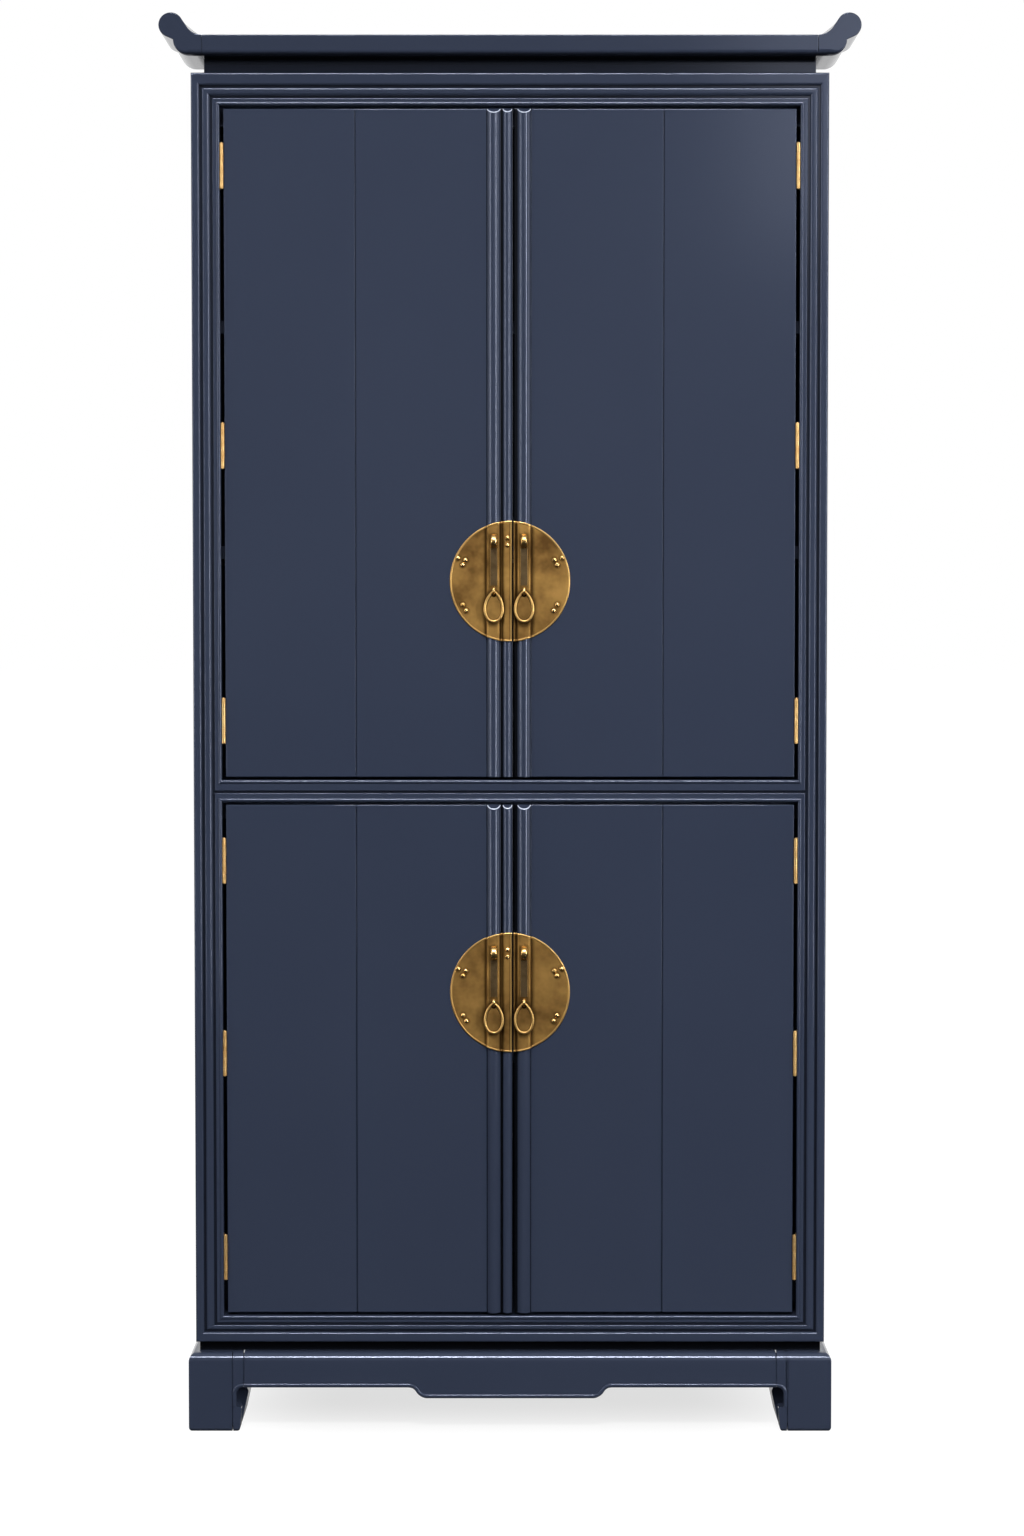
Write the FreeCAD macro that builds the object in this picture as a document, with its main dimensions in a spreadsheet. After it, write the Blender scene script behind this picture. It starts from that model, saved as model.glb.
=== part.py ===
import FreeCAD, Part
import math
import os
import Sketcher

# A tall four-door hutch in millimetres, +Z up, front towards -Y.
# The origin lies on the floor under the middle of the whole piece.

doc = FreeCAD.newDocument("hutch")
sheet = doc.addObject("Spreadsheet::Sheet", "Dimensions")
VERTICAL = FreeCAD.Vector(0, 0, 1)
kept = []


class Size:
    """A length together with its sheet formula, so that a sum of sizes stays bound to the sheet."""

    def __init__(self, value, formula):
        self.value = value
        self.formula = formula

    def __add__(self, other):
        other = as_size(other)
        return Size(self.value + other.value, f"({self.formula} + {other.formula})")

    def __sub__(self, other):
        other = as_size(other)
        return Size(self.value - other.value, f"({self.formula} - {other.formula})")

    def __mul__(self, other):
        other = as_size(other)
        return Size(self.value * other.value, f"({self.formula} * {other.formula})")

    def __truediv__(self, other):
        other = as_size(other)
        return Size(self.value / other.value, f"({self.formula} / {other.formula})")

    def __rsub__(self, other):
        return as_size(other) - self

    def __neg__(self):
        return Size(-self.value, f"(-{self.formula})")

    __radd__ = __add__
    __rmul__ = __mul__


def as_size(item):
    return item if isinstance(item, Size) else Size(float(item), f"({float(item)})")


def root(size):
    return Size(math.sqrt(size.value), f"sqrt({size.formula})")


def dimension(alias, value, meaning):
    """Writes one driving dimension into the sheet and returns it as a size."""
    row = dimension.rows = getattr(dimension, "rows", 0) + 1
    sheet.set(f"A{row}", meaning)
    sheet.set(f"B{row}", str(value))
    sheet.setAlias(f"B{row}", alias)
    return Size(float(value), f"Dimensions.{alias}")


# Case
case_width = dimension("case_width", 926, "width over the side panels")
case_depth = dimension("case_depth", 520, "face frame front to back panel")
case_height = dimension("case_height", 1856, "case without base and cornice")
panel = dimension("panel_thickness", 19, "side, top, bottom, divider and shelf boards")
back_thickness = dimension("back_thickness", 8, "back panel")
frame_thickness = dimension("frame_thickness", 24, "face frame, front to back")
floor_drop = dimension("floor_drop", 2, "case bottom below the opening edge")

# Face frame mouldings: three bands with rounded shoulders and two grooves
outer_band = dimension("outer_band", 12.4, "outer band of the stiles")
bottom_band = dimension("bottom_band", 14.5, "outer band of the bottom rail")
top_band = dimension("top_band", 18.1, "outer band of the top rail")
band_groove = dimension("band_groove", 3, "groove between outer and second band")
second_band = dimension("second_band", 12, "second band of stiles and top rail")
bottom_second = dimension("bottom_second", 7.1, "second band of the bottom rail")
bead_groove = dimension("bead_groove", 3, "groove between second band and inner bead")
inner_bead = dimension("inner_bead", 10.9, "inner bead round each opening")
second_step = dimension("second_step", 2, "second band behind the outer band")
bead_step = dimension("bead_step", 4, "inner bead behind the outer band")
first_groove_depth = dimension("first_groove_depth", 5.5, "first groove behind the outer band")
bead_groove_depth = dimension("bead_groove_depth", 7, "bead groove behind the outer band")
arris = dimension("arris_radius", 2, "rounded shoulder of each band")
lower_opening = dimension("lower_opening", 758.6, "height of the lower door opening")
lower_bead = dimension("lower_bead", 12.9, "lower bead of the middle rail")
middle_groove = dimension("middle_groove", 3.5, "groove along the middle rail")
upper_bead = dimension("upper_bead", 16, "upper bead of the middle rail")

# Base
base_height = dimension("base_height", 117, "floor to top of feet and aprons")
base_overhang = dimension("base_overhang", 10, "base beyond the case, front and sides")
base_neck_height = dimension("base_neck_height", 14, "recess between base and case")
base_neck_inset = dimension("base_neck_inset", 5, "base neck in from the case sides")
base_neck_setback = dimension("base_neck_setback", 10, "base neck behind the case front")
neck_bar = dimension("neck_bar", 40, "width of the neck frame bars")
base_round = dimension("base_round", 13, "rounded top edge of the base")
apron_height = dimension("apron_height", 51.5, "height of the aprons")
apron_thickness = dimension("apron_thickness", 30, "thickness of the aprons")
drop_depth = dimension("drop_depth", 16, "central drop below the front apron")
drop_half = dimension("drop_half", 122, "half width of the drop along its bottom")
drop_slope = dimension("drop_slope", 28, "width of each sloping end of the drop")
foot_face = dimension("foot_face", 81, "width of the foot piece at its top")
leg_width = dimension("leg_width", 68, "width of the foot above the hoof")
hoof_reach = dimension("hoof_reach", 10, "hoof beyond the leg at its top")
hoof_taper = dimension("hoof_taper", 3, "hoof narrowing towards the floor")
hoof_height = dimension("hoof_height", 36.5, "height of the hoof")
hoof_round = dimension("hoof_round", 2.5, "rounding of the hoof's top")
foot_round = dimension("foot_round", 6, "rounding of the foot at the floor")
bracket_round = dimension("bracket_round", 9, "inner corner between foot and apron")
foot_depth = dimension("foot_depth", 150, "foot along the side")
block_low = dimension("block_low", 74, "width of the foot block behind the hoof at the floor")
block_wide = dimension("block_wide", 86, "foot block at its widest")
block_level = dimension("block_level", 54, "height of its widest place")
block_top = dimension("block_top", 80, "width of the foot block behind the apron")

# Cornice
cornice_overhang = dimension("cornice_overhang", 18, "cornice in front of the case")
cornice_neck_height = dimension("cornice_neck_height", 22, "recess between case and cornice")
cornice_neck_inset = dimension("cornice_neck_inset", 18, "cornice neck behind the case")
cornice_height = dimension("cornice_height", 29.5, "face of the cornice")
cornice_chamfer = dimension("cornice_chamfer", 4, "eased lower edge of the cornice")
moulding_depth = dimension("moulding_depth", 40, "front cornice moulding, front to back")
lobe_radius = dimension("lobe_radius", 17.8, "round lobe at the end of a flare")
lobe_reach = dimension("lobe_reach", 26.6, "centre of the lobe beyond the case side")
lobe_rise = dimension("lobe_rise", 13.9, "centre of the lobe above the cornice top")
bulge_radius = dimension("bulge_radius", 22.5, "rounded underside of a flare")
bulge_reach = dimension("bulge_reach", 23.5, "underside bulge beyond the case side")
flare_depth = dimension("flare_depth", 135, "upswept end, front to back")

# Doors
door_thickness = dimension("door_thickness", 22, "door boards")
door_recess = dimension("door_recess", 8, "door face behind the outer band")
door_side_gap = dimension("door_side_gap", 5.3, "gap at the hinges")
door_end_gap = dimension("door_end_gap", 4, "gap above and below a door")
meeting_offset = dimension("meeting_offset", 5.2, "middle of the door gap right of centre")
meeting_gap = dimension("meeting_gap", 2.6, "gap between a pair of doors")
seam_gap = dimension("seam_gap", 0.6, "hairline between the boards of a door")
seam_ease = dimension("seam_ease", 0.8, "eased edges along the hairline")
tongue = dimension("tongue_length", 8, "tongue between two boards")
tongue_thickness = dimension("tongue_thickness", 6, "thickness of the tongue")
groove_room = dimension("groove_room", 0.5, "room at the bottom of the tongue's groove")
wide_reed = dimension("wide_reed", 19.7, "width of the outer reeds")
wide_rise = dimension("wide_rise", 8, "outer reeds in front of the door face")
slim_reed = dimension("slim_reed", 13.9, "width of the centre reed")
slim_rise = dimension("slim_rise", 6.8, "centre reed in front of the door face")
reed_groove = dimension("reed_groove", 3.2, "groove between the two reeds of a left door")
reed_margin = dimension("reed_margin", 0.6, "door face beside a reed")
right_inset = dimension("right_inset", 4.2, "reed of a right door from its edge")
reed_slant = dimension("reed_slant", 0.75, "slope of the cut at the reed tops")

# Hinges
hinge_length = dimension("hinge_length", 69, "length of a butt hinge")
hinge_end = dimension("hinge_end", 82.5, "hinge centre from the end of the door")
upper_hinge_shift = dimension("upper_hinge_shift", -2, "middle hinge of an upper door from its middle")
lower_hinge_shift = dimension("lower_hinge_shift", 9, "middle hinge of a lower door from its middle")
hinge_depth = dimension("hinge_depth", 6, "hinge axis behind the outer band")
knuckle_radius = dimension("knuckle_radius", 3, "hinge barrel")
leaf_thickness = dimension("leaf_thickness", 1.5, "hinge leaf")
leaf_depth = dimension("leaf_depth", 17, "hinge leaf behind the axis")
pin_radius = dimension("pin_radius", 1.4, "hinge pin")
pin_clearance = dimension("pin_clearance", 0.05, "running clearance round the hinge pin")
knuckle_gap = dimension("knuckle_gap", 0.4, "gap between two knuckles")
cap_radius = dimension("cap_radius", 2.4, "button at each end of the hinge pin")
cap_height = dimension("cap_height", 1, "height of that button")
mortise_room = dimension("mortise_room", 0.3, "room at each end of a hinge mortise")

# Lock plates and their fittings
plate_radius = dimension("plate_radius", 88, "round lock plate")
plate_thickness = dimension("plate_thickness", 1.2, "sheet of the lock plate")
plate_room = dimension("plate_room", 0.3, "room between the plate and the reeds")
plate_bend = dimension("plate_bend", 3, "bend where the plate steps over a reed")
plate_dip = dimension("plate_dip", 5, "groove of the plate beside a reed")
plate_cut = dimension("plate_cut", 1.3, "left half of the plate short of its door edge")
plate_lip = dimension("plate_lip", 1.2, "right half of the plate beyond its door edge")
upper_plate_rise = dimension("upper_plate_rise", 286.3, "upper plate above its door's lower edge")
lower_plate_rise = dimension("lower_plate_rise", 474.9, "lower plate above its door's lower edge")
rivet_radius = dimension("rivet_radius", 3.4, "domed rivet")
stud_radius = dimension("stud_radius", 3.5, "domed pin on the centre reed")
staple_width = dimension("staple_width", 8, "width of a staple")
staple_radius = dimension("staple_radius", 10.5, "round nose of a staple")
staple_bore = dimension("staple_bore", 5.5, "bore of a staple")
staple_root = dimension("staple_root", 2.5, "straight root of a staple")
staple_rise = dimension("staple_rise", 58, "staple above the plate centre")
strap_width = dimension("strap_width", 10.5, "strap from staple to pull eye")
strap_thickness = dimension("strap_thickness", 1, "strap")
strap_drop = dimension("strap_drop", 6, "lower end of the strap below the plate centre")
eye_drop = dimension("eye_drop", 14, "pull eye below the plate centre")
eye_radius = dimension("eye_radius", 4.5, "ring of the pull eye")
eye_wire = dimension("eye_wire", 1.5, "wire radius of the pull eye")
eye_post = dimension("eye_post", 2.2, "post behind the pull eye")
pull_thickness = dimension("pull_thickness", 2.6, "teardrop pull")
pull_length = dimension("pull_length", 46.5, "teardrop below the eye centre")
pull_half = dimension("pull_half", 15, "half width of the teardrop")
pull_widest = dimension("pull_widest", 23.5, "its widest place below its top")
pull_bowl = dimension("pull_bowl", 12.2, "round bottom of the teardrop")
pull_crown = dimension("pull_crown", 7, "round top of the teardrop")
pull_top = dimension("pull_top", 0.3, "top of the teardrop above the eye centre")
pull_bar = dimension("pull_bar", 2.6, "bar of the teardrop above its hole")
pull_hole = dimension("pull_hole", 2.85, "hole of the teardrop")

# Shelves, stops and catches
shelf_setback = dimension("shelf_setback", 52, "shelf front behind the outer band")
shelf_room = dimension("shelf_room", 0.5, "room at each end of a shelf")
upper_low_shelf = dimension("upper_low_shelf", 330, "low upper shelf above the divider")
upper_high_shelf = dimension("upper_high_shelf", 660, "high upper shelf above the divider")
lower_shelf = dimension("lower_shelf_rise", 370, "lower shelf above the case bottom")
shelf_pin = dimension("shelf_pin_radius", 2.5, "shelf pin")
shelf_pin_reach = dimension("shelf_pin_reach", 10, "shelf pin in and out of the side panel")
shelf_pin_room = dimension("shelf_pin_room", 0.05, "room round a shelf pin")
shelf_pin_setback = dimension("shelf_pin_setback", 45, "shelf pin from the shelf's edge")
stop_thickness = dimension("stop_thickness", 18, "door stop rail")
stop_overlap = dimension("stop_overlap", 22, "door stop rail behind the door's top")
stop_room = dimension("stop_room", 0.4, "room between strike and magnet")
strike_radius = dimension("strike_radius", 7, "strike disc on a door")
strike_thickness = dimension("strike_thickness", 1, "strike disc")
strike_drop = dimension("strike_drop", 11, "strike below the door's top")
strike_inset = dimension("strike_inset", 40, "strike from the meeting edge")
magnet_radius = dimension("magnet_radius", 6, "round magnet in the stop rail")
magnet_length = dimension("magnet_length", 12, "round magnet")
magnet_room = dimension("magnet_room", 0.05, "room round a magnet")

doc.recompute()

# Levels and planes that several pieces share
half_width = case_width / 2
face = (cornice_overhang - case_depth) / 2
back = (cornice_overhang + case_depth) / 2
case_low = base_height + base_neck_height
case_high = case_low + case_height
cornice_low = case_high + cornice_neck_height
cornice_high = cornice_low + cornice_height
mouldings = band_groove + second_band + bead_groove + inner_bead
stile_width = outer_band + mouldings
opening_half = half_width - stile_width
bottom_width = bottom_band + band_groove + bottom_second + bead_groove + inner_bead
opening_low = case_low + bottom_width
middle_low = opening_low + lower_opening
middle_high = middle_low + lower_bead + middle_groove + upper_bead
opening_high = case_high - top_band - mouldings
door_face = face + door_recess
door_back = door_face + door_thickness
door_half = opening_half - door_side_gap
inner_half = half_width - panel
floor_top = opening_low - floor_drop
divider_low = middle_low + (middle_high - middle_low - panel) / 2
divider_top = divider_low + panel
ceiling = case_high - panel
inner_back = back - back_thickness
hinge_x = opening_half - door_side_gap / 2
hinge_y = face + hinge_depth
left_edge = meeting_offset - meeting_gap / 2
right_edge = meeting_offset + meeting_gap / 2
stop_front = door_back + strike_thickness + stop_room


# Building blocks

def bind(item, prop, size):
    item.setExpression(prop, as_size(size).formula)


def place(item, base, turn=FreeCAD.Rotation()):
    """Sets where an object stands and binds each coordinate to the sheet."""
    corner = [as_size(value) for value in base]
    item.Placement = FreeCAD.Placement(FreeCAD.Vector(*[value.value for value in corner]), turn)
    for axis, value in zip("xyz", corner):
        bind(item, f".Placement.Base.{axis}", value)
    return item


def block(name, x, y, z):
    """A board between two corners; x, y and z are (low, high) pairs."""
    item = doc.addObject("Part::Box", name)
    for prop, (low, high) in zip(("Length", "Width", "Height"), (x, y, z)):
        bind(item, prop, as_size(high) - low)
    return place(item, (x[0], y[0], z[0]))


ALONG = {
    "x": FreeCAD.Rotation(FreeCAD.Vector(0, 1, 0), 90),
    "y": FreeCAD.Rotation(FreeCAD.Vector(1, 0, 0), -90),
    "z": FreeCAD.Rotation(),
}


def rod(name, axis, centre, radius, low, high):
    """A cylinder along an axis; centre holds its two other coordinates in x, y, z order."""
    item = doc.addObject("Part::Cylinder", name)
    bind(item, "Radius", radius)
    bind(item, "Height", as_size(high) - low)
    base = list(centre)
    base.insert("xyz".index(axis), low)
    return place(item, base, ALONG[axis])


def dome(name, centre, radius):
    """A half ball whose round side looks to the front."""
    item = doc.addObject("Part::Sphere", name)
    item.Angle1 = 0
    item.Angle2 = 90
    bind(item, "Radius", radius)
    return place(item, centre, FreeCAD.Rotation(FreeCAD.Vector(1, 0, 0), 90))


PLANES = {"x": "YZ_Plane", "y": "XZ_Plane", "z": "XY_Plane"}


def arc_between(start, end, radius, turn):
    """The short arc from start to end; turn is 1 where it bends left and -1 where it bends right."""
    chord = end - start
    rise = math.sqrt(max(radius ** 2 - (chord.Length / 2) ** 2, 0))
    side = FreeCAD.Vector(-chord.y, chord.x, 0).normalize() * (rise * turn)
    centre = (start + end) * 0.5 + side
    first, last = (start, end) if turn > 0 else (end, start)
    angles = [math.atan2(point.y - centre.y, point.x - centre.x) for point in (first, last)]
    return Part.ArcOfCircle(Part.Circle(centre, VERTICAL, radius), *angles)


def prism(name, axis, outline, low, high):
    """A sketched outline padded along an axis.

    Each corner is (u, v) or (u, v, radius, turn), where the last two make an arc to the next corner.
    """
    body = doc.addObject("PartDesign::Body", name)
    sketch = body.newObject("Sketcher::SketchObject", name + "_outline")
    plane = [item for item in body.Origin.OriginFeatures if item.Role == PLANES[axis]][0]
    sketch.AttachmentSupport = [(plane, "")]
    sketch.MapMode = "FlatFace"
    bind(sketch, "AttachmentOffset.Base.z", -as_size(high) if axis == "y" else low)
    corners = [[as_size(value) for value in corner[:2]] for corner in outline]
    points = [FreeCAD.Vector(u.value, v.value, 0) for u, v in corners]
    count = len(points)
    ends = []
    for index, corner in enumerate(outline):
        start = points[index]
        end = points[(index + 1) % count]
        if len(corner) == 2:
            sketch.addGeometry(Part.LineSegment(start, end))
            ends.append((1, 2))
        else:
            radius, turn = corner[2:]
            sketch.addGeometry(arc_between(start, end, as_size(radius).value, turn))
            ends.append((1, 2) if turn > 0 else (2, 1))
    for index in range(count):
        following = (index + 1) % count
        joint = (index, ends[index][1], following, ends[following][0])
        sketch.addConstraint(Sketcher.Constraint("Coincident", *joint))
    for index, corner in enumerate(corners):
        for kind, size in zip(("DistanceX", "DistanceY"), corner):
            fixed = Sketcher.Constraint(kind, -1, 1, index, ends[index][0], size.value)
            bind(sketch, f"Constraints[{sketch.addConstraint(fixed)}]", size)
    for index, corner in enumerate(outline):
        if len(corner) > 2:
            radius = as_size(corner[2])
            fixed = Sketcher.Constraint("Radius", index, radius.value)
            bind(sketch, f"Constraints[{sketch.addConstraint(fixed)}]", radius)
    pad = body.newObject("PartDesign::Pad", name + "_pad")
    pad.Profile = sketch
    bind(pad, "Length", as_size(high) - low)
    return body


def pair(kind, name, base, tool):
    item = doc.addObject(kind, name)
    item.Base = base
    item.Tool = tool
    return item


def cut(name, base, *tools):
    return pair("Part::Cut", name, base, tools[0] if len(tools) == 1 else group(name + "_tools", *tools))


def common(name, base, tool):
    return pair("Part::Common", name, base, tool)


def fuse(name, *pieces):
    item = doc.addObject("Part::MultiFuse", name)
    item.Shapes = list(pieces)
    item.Refine = True
    return item


def group(name, *pieces):
    item = doc.addObject("Part::Compound", name)
    item.Links = list(pieces)
    return item


def mirror(name, source, axis, plane=0):
    """The mirror image of a piece across the plane at a place on an axis."""
    item = doc.addObject("Part::Mirroring", name)
    item.Source = source
    item.Normal = FreeCAD.Vector(*[float(letter == axis) for letter in "xyz"])
    bind(item, f"Base.{axis}", plane)
    return item


def copy(name, source, base, turn=FreeCAD.Rotation()):
    item = doc.addObject("App::Link", name)
    item.LinkedObject = source
    return place(item, base, turn)


def keep(item, label):
    """Names a finished sub-part."""
    item.Label = label
    kept.append(item)
    return item


# Case boards
hinge_places = []
for low, high, shift in (
    (opening_low, middle_low, lower_hinge_shift),
    (middle_high, opening_high, upper_hinge_shift),
):
    first = low + door_end_gap + hinge_end
    last = high - door_end_gap - hinge_end
    hinge_places.append((first, (low + high) / 2 + shift, last))

shelf_levels = (
    floor_top + lower_shelf,
    divider_top + upper_low_shelf,
    divider_top + upper_high_shelf,
)
shelf_front = face + shelf_setback
shelf_pin_rows = (shelf_front + shelf_pin_setback, inner_back - shelf_pin_setback)
panel_front = face + frame_thickness
inside = (-inner_half, inner_half)
case_span = (case_low, case_high)

for side, sign in (("left", -1), ("right", 1)):
    outer = sign * half_width
    inner = sign * inner_half
    span = (outer, inner) if sign < 0 else (inner, outer)
    board = block(f"{side}_board", span, (panel_front, back), case_span)
    holes = []
    for level in shelf_levels:
        for row in shelf_pin_rows:
            ends = (inner - shelf_pin_reach, inner) if sign < 0 else (inner, inner + shelf_pin_reach)
            bore = shelf_pin + shelf_pin_room
            holes.append(rod(f"{side}_pin_hole", "x", (row, level - shelf_pin), bore, *ends))
    keep(cut(f"{side}_bored", board, *holes), f"{side}_side_panel")

across = (panel_front, inner_back)
keep(block("ceiling_board", inside, across, (ceiling, case_high)), "case_top")
keep(block("floor_board", inside, across, (floor_top - panel, floor_top)), "case_bottom")
keep(block("divider_board", inside, across, (divider_low, divider_top)), "middle_divider")
keep(block("back_board", inside, (inner_back, back), case_span), "back_panel")


# Face frame

def banded(bands, grooves, start, sign, deep):
    """Corners of a moulded section: bands are (width, setback), grooves are (width, depth).

    It starts at a place and goes along with a sign; deep is the back of the section.
    """
    corners = [(start, deep)]
    place_now = start
    for index, (width, setback) in enumerate(bands):
        crest = face + setback
        end = place_now + sign * width
        corners.append((place_now, crest + arris, arris, sign))
        corners.append((place_now + sign * arris, crest))
        corners.append((end - sign * arris, crest, arris, sign))
        corners.append((end, crest + arris))
        place_now = end
        if index < len(grooves):
            gap, depth = grooves[index]
            corners.append((place_now, face + depth))
            place_now = place_now + sign * gap
            corners.append((place_now, face + depth))
    corners.append((place_now, deep))
    return corners


def turned(corners):
    """The same corners with the two coordinates exchanged, for a section drawn the other way."""
    swapped = []
    for corner in corners:
        arc = (corner[2], -corner[3]) if len(corner) > 2 else ()
        swapped.append((corner[1], corner[0], *arc))
    return swapped


frame_depth = (face, panel_front)
frame_grooves = ((band_groove, first_groove_depth), (bead_groove, bead_groove_depth))
frame_bands = ((outer_band, 0), (second_band, second_step), (inner_bead, bead_step))
top_bands = ((top_band, 0), *frame_bands[1:])
middle_bands = ((lower_bead, bead_step), (upper_bead, bead_step))
middle_grooves = ((middle_groove, bead_groove_depth),)
groove_x = half_width - outer_band - band_groove - second_band - bead_groove / 2
groove_z = middle_low + lower_bead + middle_groove / 2
band_half = half_width - outer_band
band_high = case_high - top_band
band_low = case_low + bottom_band
valley_half = band_half - band_groove
valley_low = band_low + band_groove
second_half = valley_half - second_band
second_low = valley_low + bottom_second
bottom_mitre = [
    (half_width, case_low),
    (band_half, band_low),
    (valley_half, valley_low),
    (second_half, second_low),
    (opening_half, opening_low),
]

stile_section = banded(frame_bands, frame_grooves, -half_width, 1, panel_front)
stile_outline = [
    *[(-across, level) for across, level in bottom_mitre],
    (-opening_half, middle_low),
    (-groove_x, groove_z),
    (-opening_half, middle_high),
    (-opening_half, opening_high),
    (-band_half, band_high),
    (-half_width, case_high),
]
stile_bar = common(
    "stile_bar",
    prism("stile_section", "z", stile_section, *case_span),
    prism("stile_face", "y", stile_outline, *frame_depth),
)
mortise_half = hinge_length / 2 + cap_height + mortise_room
mortise_depth = (face, hinge_y + leaf_depth)
stile_mortises = []
for tier in hinge_places:
    for level in tier:
        mortise_x = (-opening_half - leaf_thickness, -opening_half)
        mortise_z = (level - mortise_half, level + mortise_half)
        stile_mortises.append(block("stile_mortise", mortise_x, mortise_depth, mortise_z))
left_stile = keep(cut("stile_mortised", stile_bar, *stile_mortises), "left_stile")
keep(mirror("stile_mirrored", left_stile, "x"), "right_stile")

rail_span = (-half_width, half_width)
top_section = turned(banded(top_bands, frame_grooves, case_high, -1, panel_front))
top_outline = [
    (-half_width, case_high),
    (-band_half, band_high),
    (-opening_half, opening_high),
    (opening_half, opening_high),
    (band_half, band_high),
    (half_width, case_high),
]
bottom_bands = ((bottom_band, 0), (bottom_second, second_step), (inner_bead, bead_step))
bottom_section = turned(banded(bottom_bands, frame_grooves, case_low, 1, panel_front))
bottom_outline = [
    *bottom_mitre,
    *[(-across, level) for across, level in reversed(bottom_mitre)],
]
middle_section = turned(banded(middle_bands, middle_grooves, middle_low, 1, panel_front))
middle_outline = [
    (-groove_x, groove_z),
    (-opening_half, middle_low),
    (opening_half, middle_low),
    (groove_x, groove_z),
    (opening_half, middle_high),
    (-opening_half, middle_high),
]
for rail, section, outline in (
    ("top", top_section, top_outline),
    ("bottom", bottom_section, bottom_outline),
    ("middle", middle_section, middle_outline),
):
    bar = prism(f"{rail}_section", "x", section, *rail_span)
    mitred = prism(f"{rail}_face", "y", outline, *frame_depth)
    keep(common(f"{rail}_bar", bar, mitred), f"{rail}_rail")


# Base: four hoof feet, four aprons and a recessed neck

def neck_frame(name, inset, setback, rear, low, high):
    """Four bars between two horizontal planes, set in from the case sides and back from its front."""
    side = half_width - inset
    front = face + setback
    bars = [
        block(f"{name}_front", (-side, side), (front, front + neck_bar), (low, high)),
        block(f"{name}_rear", (-side, side), (rear - neck_bar, rear), (low, high)),
    ]
    for span in ((-side, neck_bar - side), (side - neck_bar, side)):
        bars.append(block(f"{name}_side", span, (front + neck_bar, rear - neck_bar), (low, high)))
    return group(name, *bars)


base_side = half_width + base_overhang
base_front = face - base_overhang
base_middle = (base_front + back) / 2
base_rear = back - base_overhang - base_neck_inset
apron_low = base_height - apron_height
seam_x = base_side - foot_face
leg_x = base_side - leg_width
hoof_x = leg_x - hoof_reach
hoof_low_x = hoof_x + hoof_taper
block_low_x = base_side - block_low
block_wide_x = base_side - block_wide
block_top_x = base_side - block_top
plate_back = base_front + apron_thickness

base_levels = (base_height, case_low)
base_bars = neck_frame("base_neck_bars", base_neck_inset, base_neck_setback, base_rear, *base_levels)
keep(base_bars, "base_neck")

hoof_outline = [
    (-base_side, foot_round, foot_round, 1),
    (foot_round - base_side, 0),
    (-hoof_low_x - foot_round, 0, foot_round, 1),
    (-hoof_low_x, foot_round),
    (-hoof_x, hoof_height - hoof_round, hoof_round, 1),
    (-hoof_x - hoof_round, hoof_height),
    (-leg_x + hoof_round, hoof_height, hoof_round, -1),
    (-leg_x, hoof_height + hoof_round),
    (-leg_x, apron_low - bracket_round, bracket_round, -1),
    (-leg_x + bracket_round, apron_low),
    (-seam_x, apron_low),
    (-seam_x, base_height),
    (base_round - base_side, base_height, base_round, 1),
    (-base_side, base_height - base_round),
]
block_outline = [
    (-base_side, foot_round, foot_round, 1),
    (foot_round - base_side, 0),
    (-block_low_x - foot_round, 0, foot_round, 1),
    (-block_low_x, foot_round),
    (-block_wide_x, block_level),
    (-block_top_x, apron_low),
    (-block_top_x, base_height),
    (base_round - base_side, base_height, base_round, 1),
    (-base_side, base_height - base_round),
]
foot_back = base_front + foot_depth
side_outline = [
    (base_front, foot_round, foot_round, 1),
    (base_front + foot_round, 0),
    (foot_back - bracket_round - foot_round, 0, foot_round, 1),
    (foot_back - bracket_round, foot_round),
    (foot_back - bracket_round, apron_low - bracket_round, bracket_round, -1),
    (foot_back, apron_low),
    (foot_back, base_height),
    (base_front + base_round, base_height, base_round, 1),
    (base_front, base_height - base_round),
]
foot_blank = fuse(
    "foot_blank",
    prism("hoof_plate", "y", hoof_outline, base_front, plate_back),
    prism("foot_block", "y", block_outline, plate_back, foot_back),
)
foot_side = prism("foot_side", "x", side_outline, -base_side, -seam_x)
front_left_foot = keep(common("foot_shaped", foot_blank, foot_side), "front_left_foot")
keep(mirror("foot_right", front_left_foot, "x"), "front_right_foot")
rear_left_foot = keep(mirror("foot_rear", front_left_foot, "y", base_middle), "rear_left_foot")
keep(mirror("foot_rear_right", rear_left_foot, "x"), "rear_right_foot")

drop_low = apron_low - drop_depth
drop_middle = apron_low - drop_depth / 2
drop_radius = (drop_slope * drop_slope + drop_depth * drop_depth) / (drop_depth * 4)
apron_outline = [
    (-seam_x, apron_low),
    (-drop_half - drop_slope, apron_low, drop_radius, -1),
    (-drop_half - drop_slope / 2, drop_middle, drop_radius, 1),
    (-drop_half, drop_low),
    (drop_half, drop_low, drop_radius, 1),
    (drop_half + drop_slope / 2, drop_middle, drop_radius, -1),
    (drop_half + drop_slope, apron_low),
    (seam_x, apron_low),
    (seam_x, base_height),
    (-seam_x, base_height),
]
front_section = [
    (base_front, drop_low),
    (plate_back, drop_low),
    (plate_back, base_height),
    (base_front + base_round, base_height, base_round, 1),
    (base_front, base_height - base_round),
]
seams = (-seam_x, seam_x)
apron_bar = prism("apron_section", "x", front_section, *seams)
apron_face = prism("apron_face", "y", apron_outline, base_front, plate_back)
keep(common("front_apron_shaped", apron_bar, apron_face), "front_apron")
rear_section = [
    (back - apron_thickness, apron_low),
    (back, apron_low),
    (back, base_height - base_round, base_round, 1),
    (back - base_round, base_height),
    (back - apron_thickness, base_height),
]
keep(prism("rear_apron_bar", "x", rear_section, *seams), "rear_apron")
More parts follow.
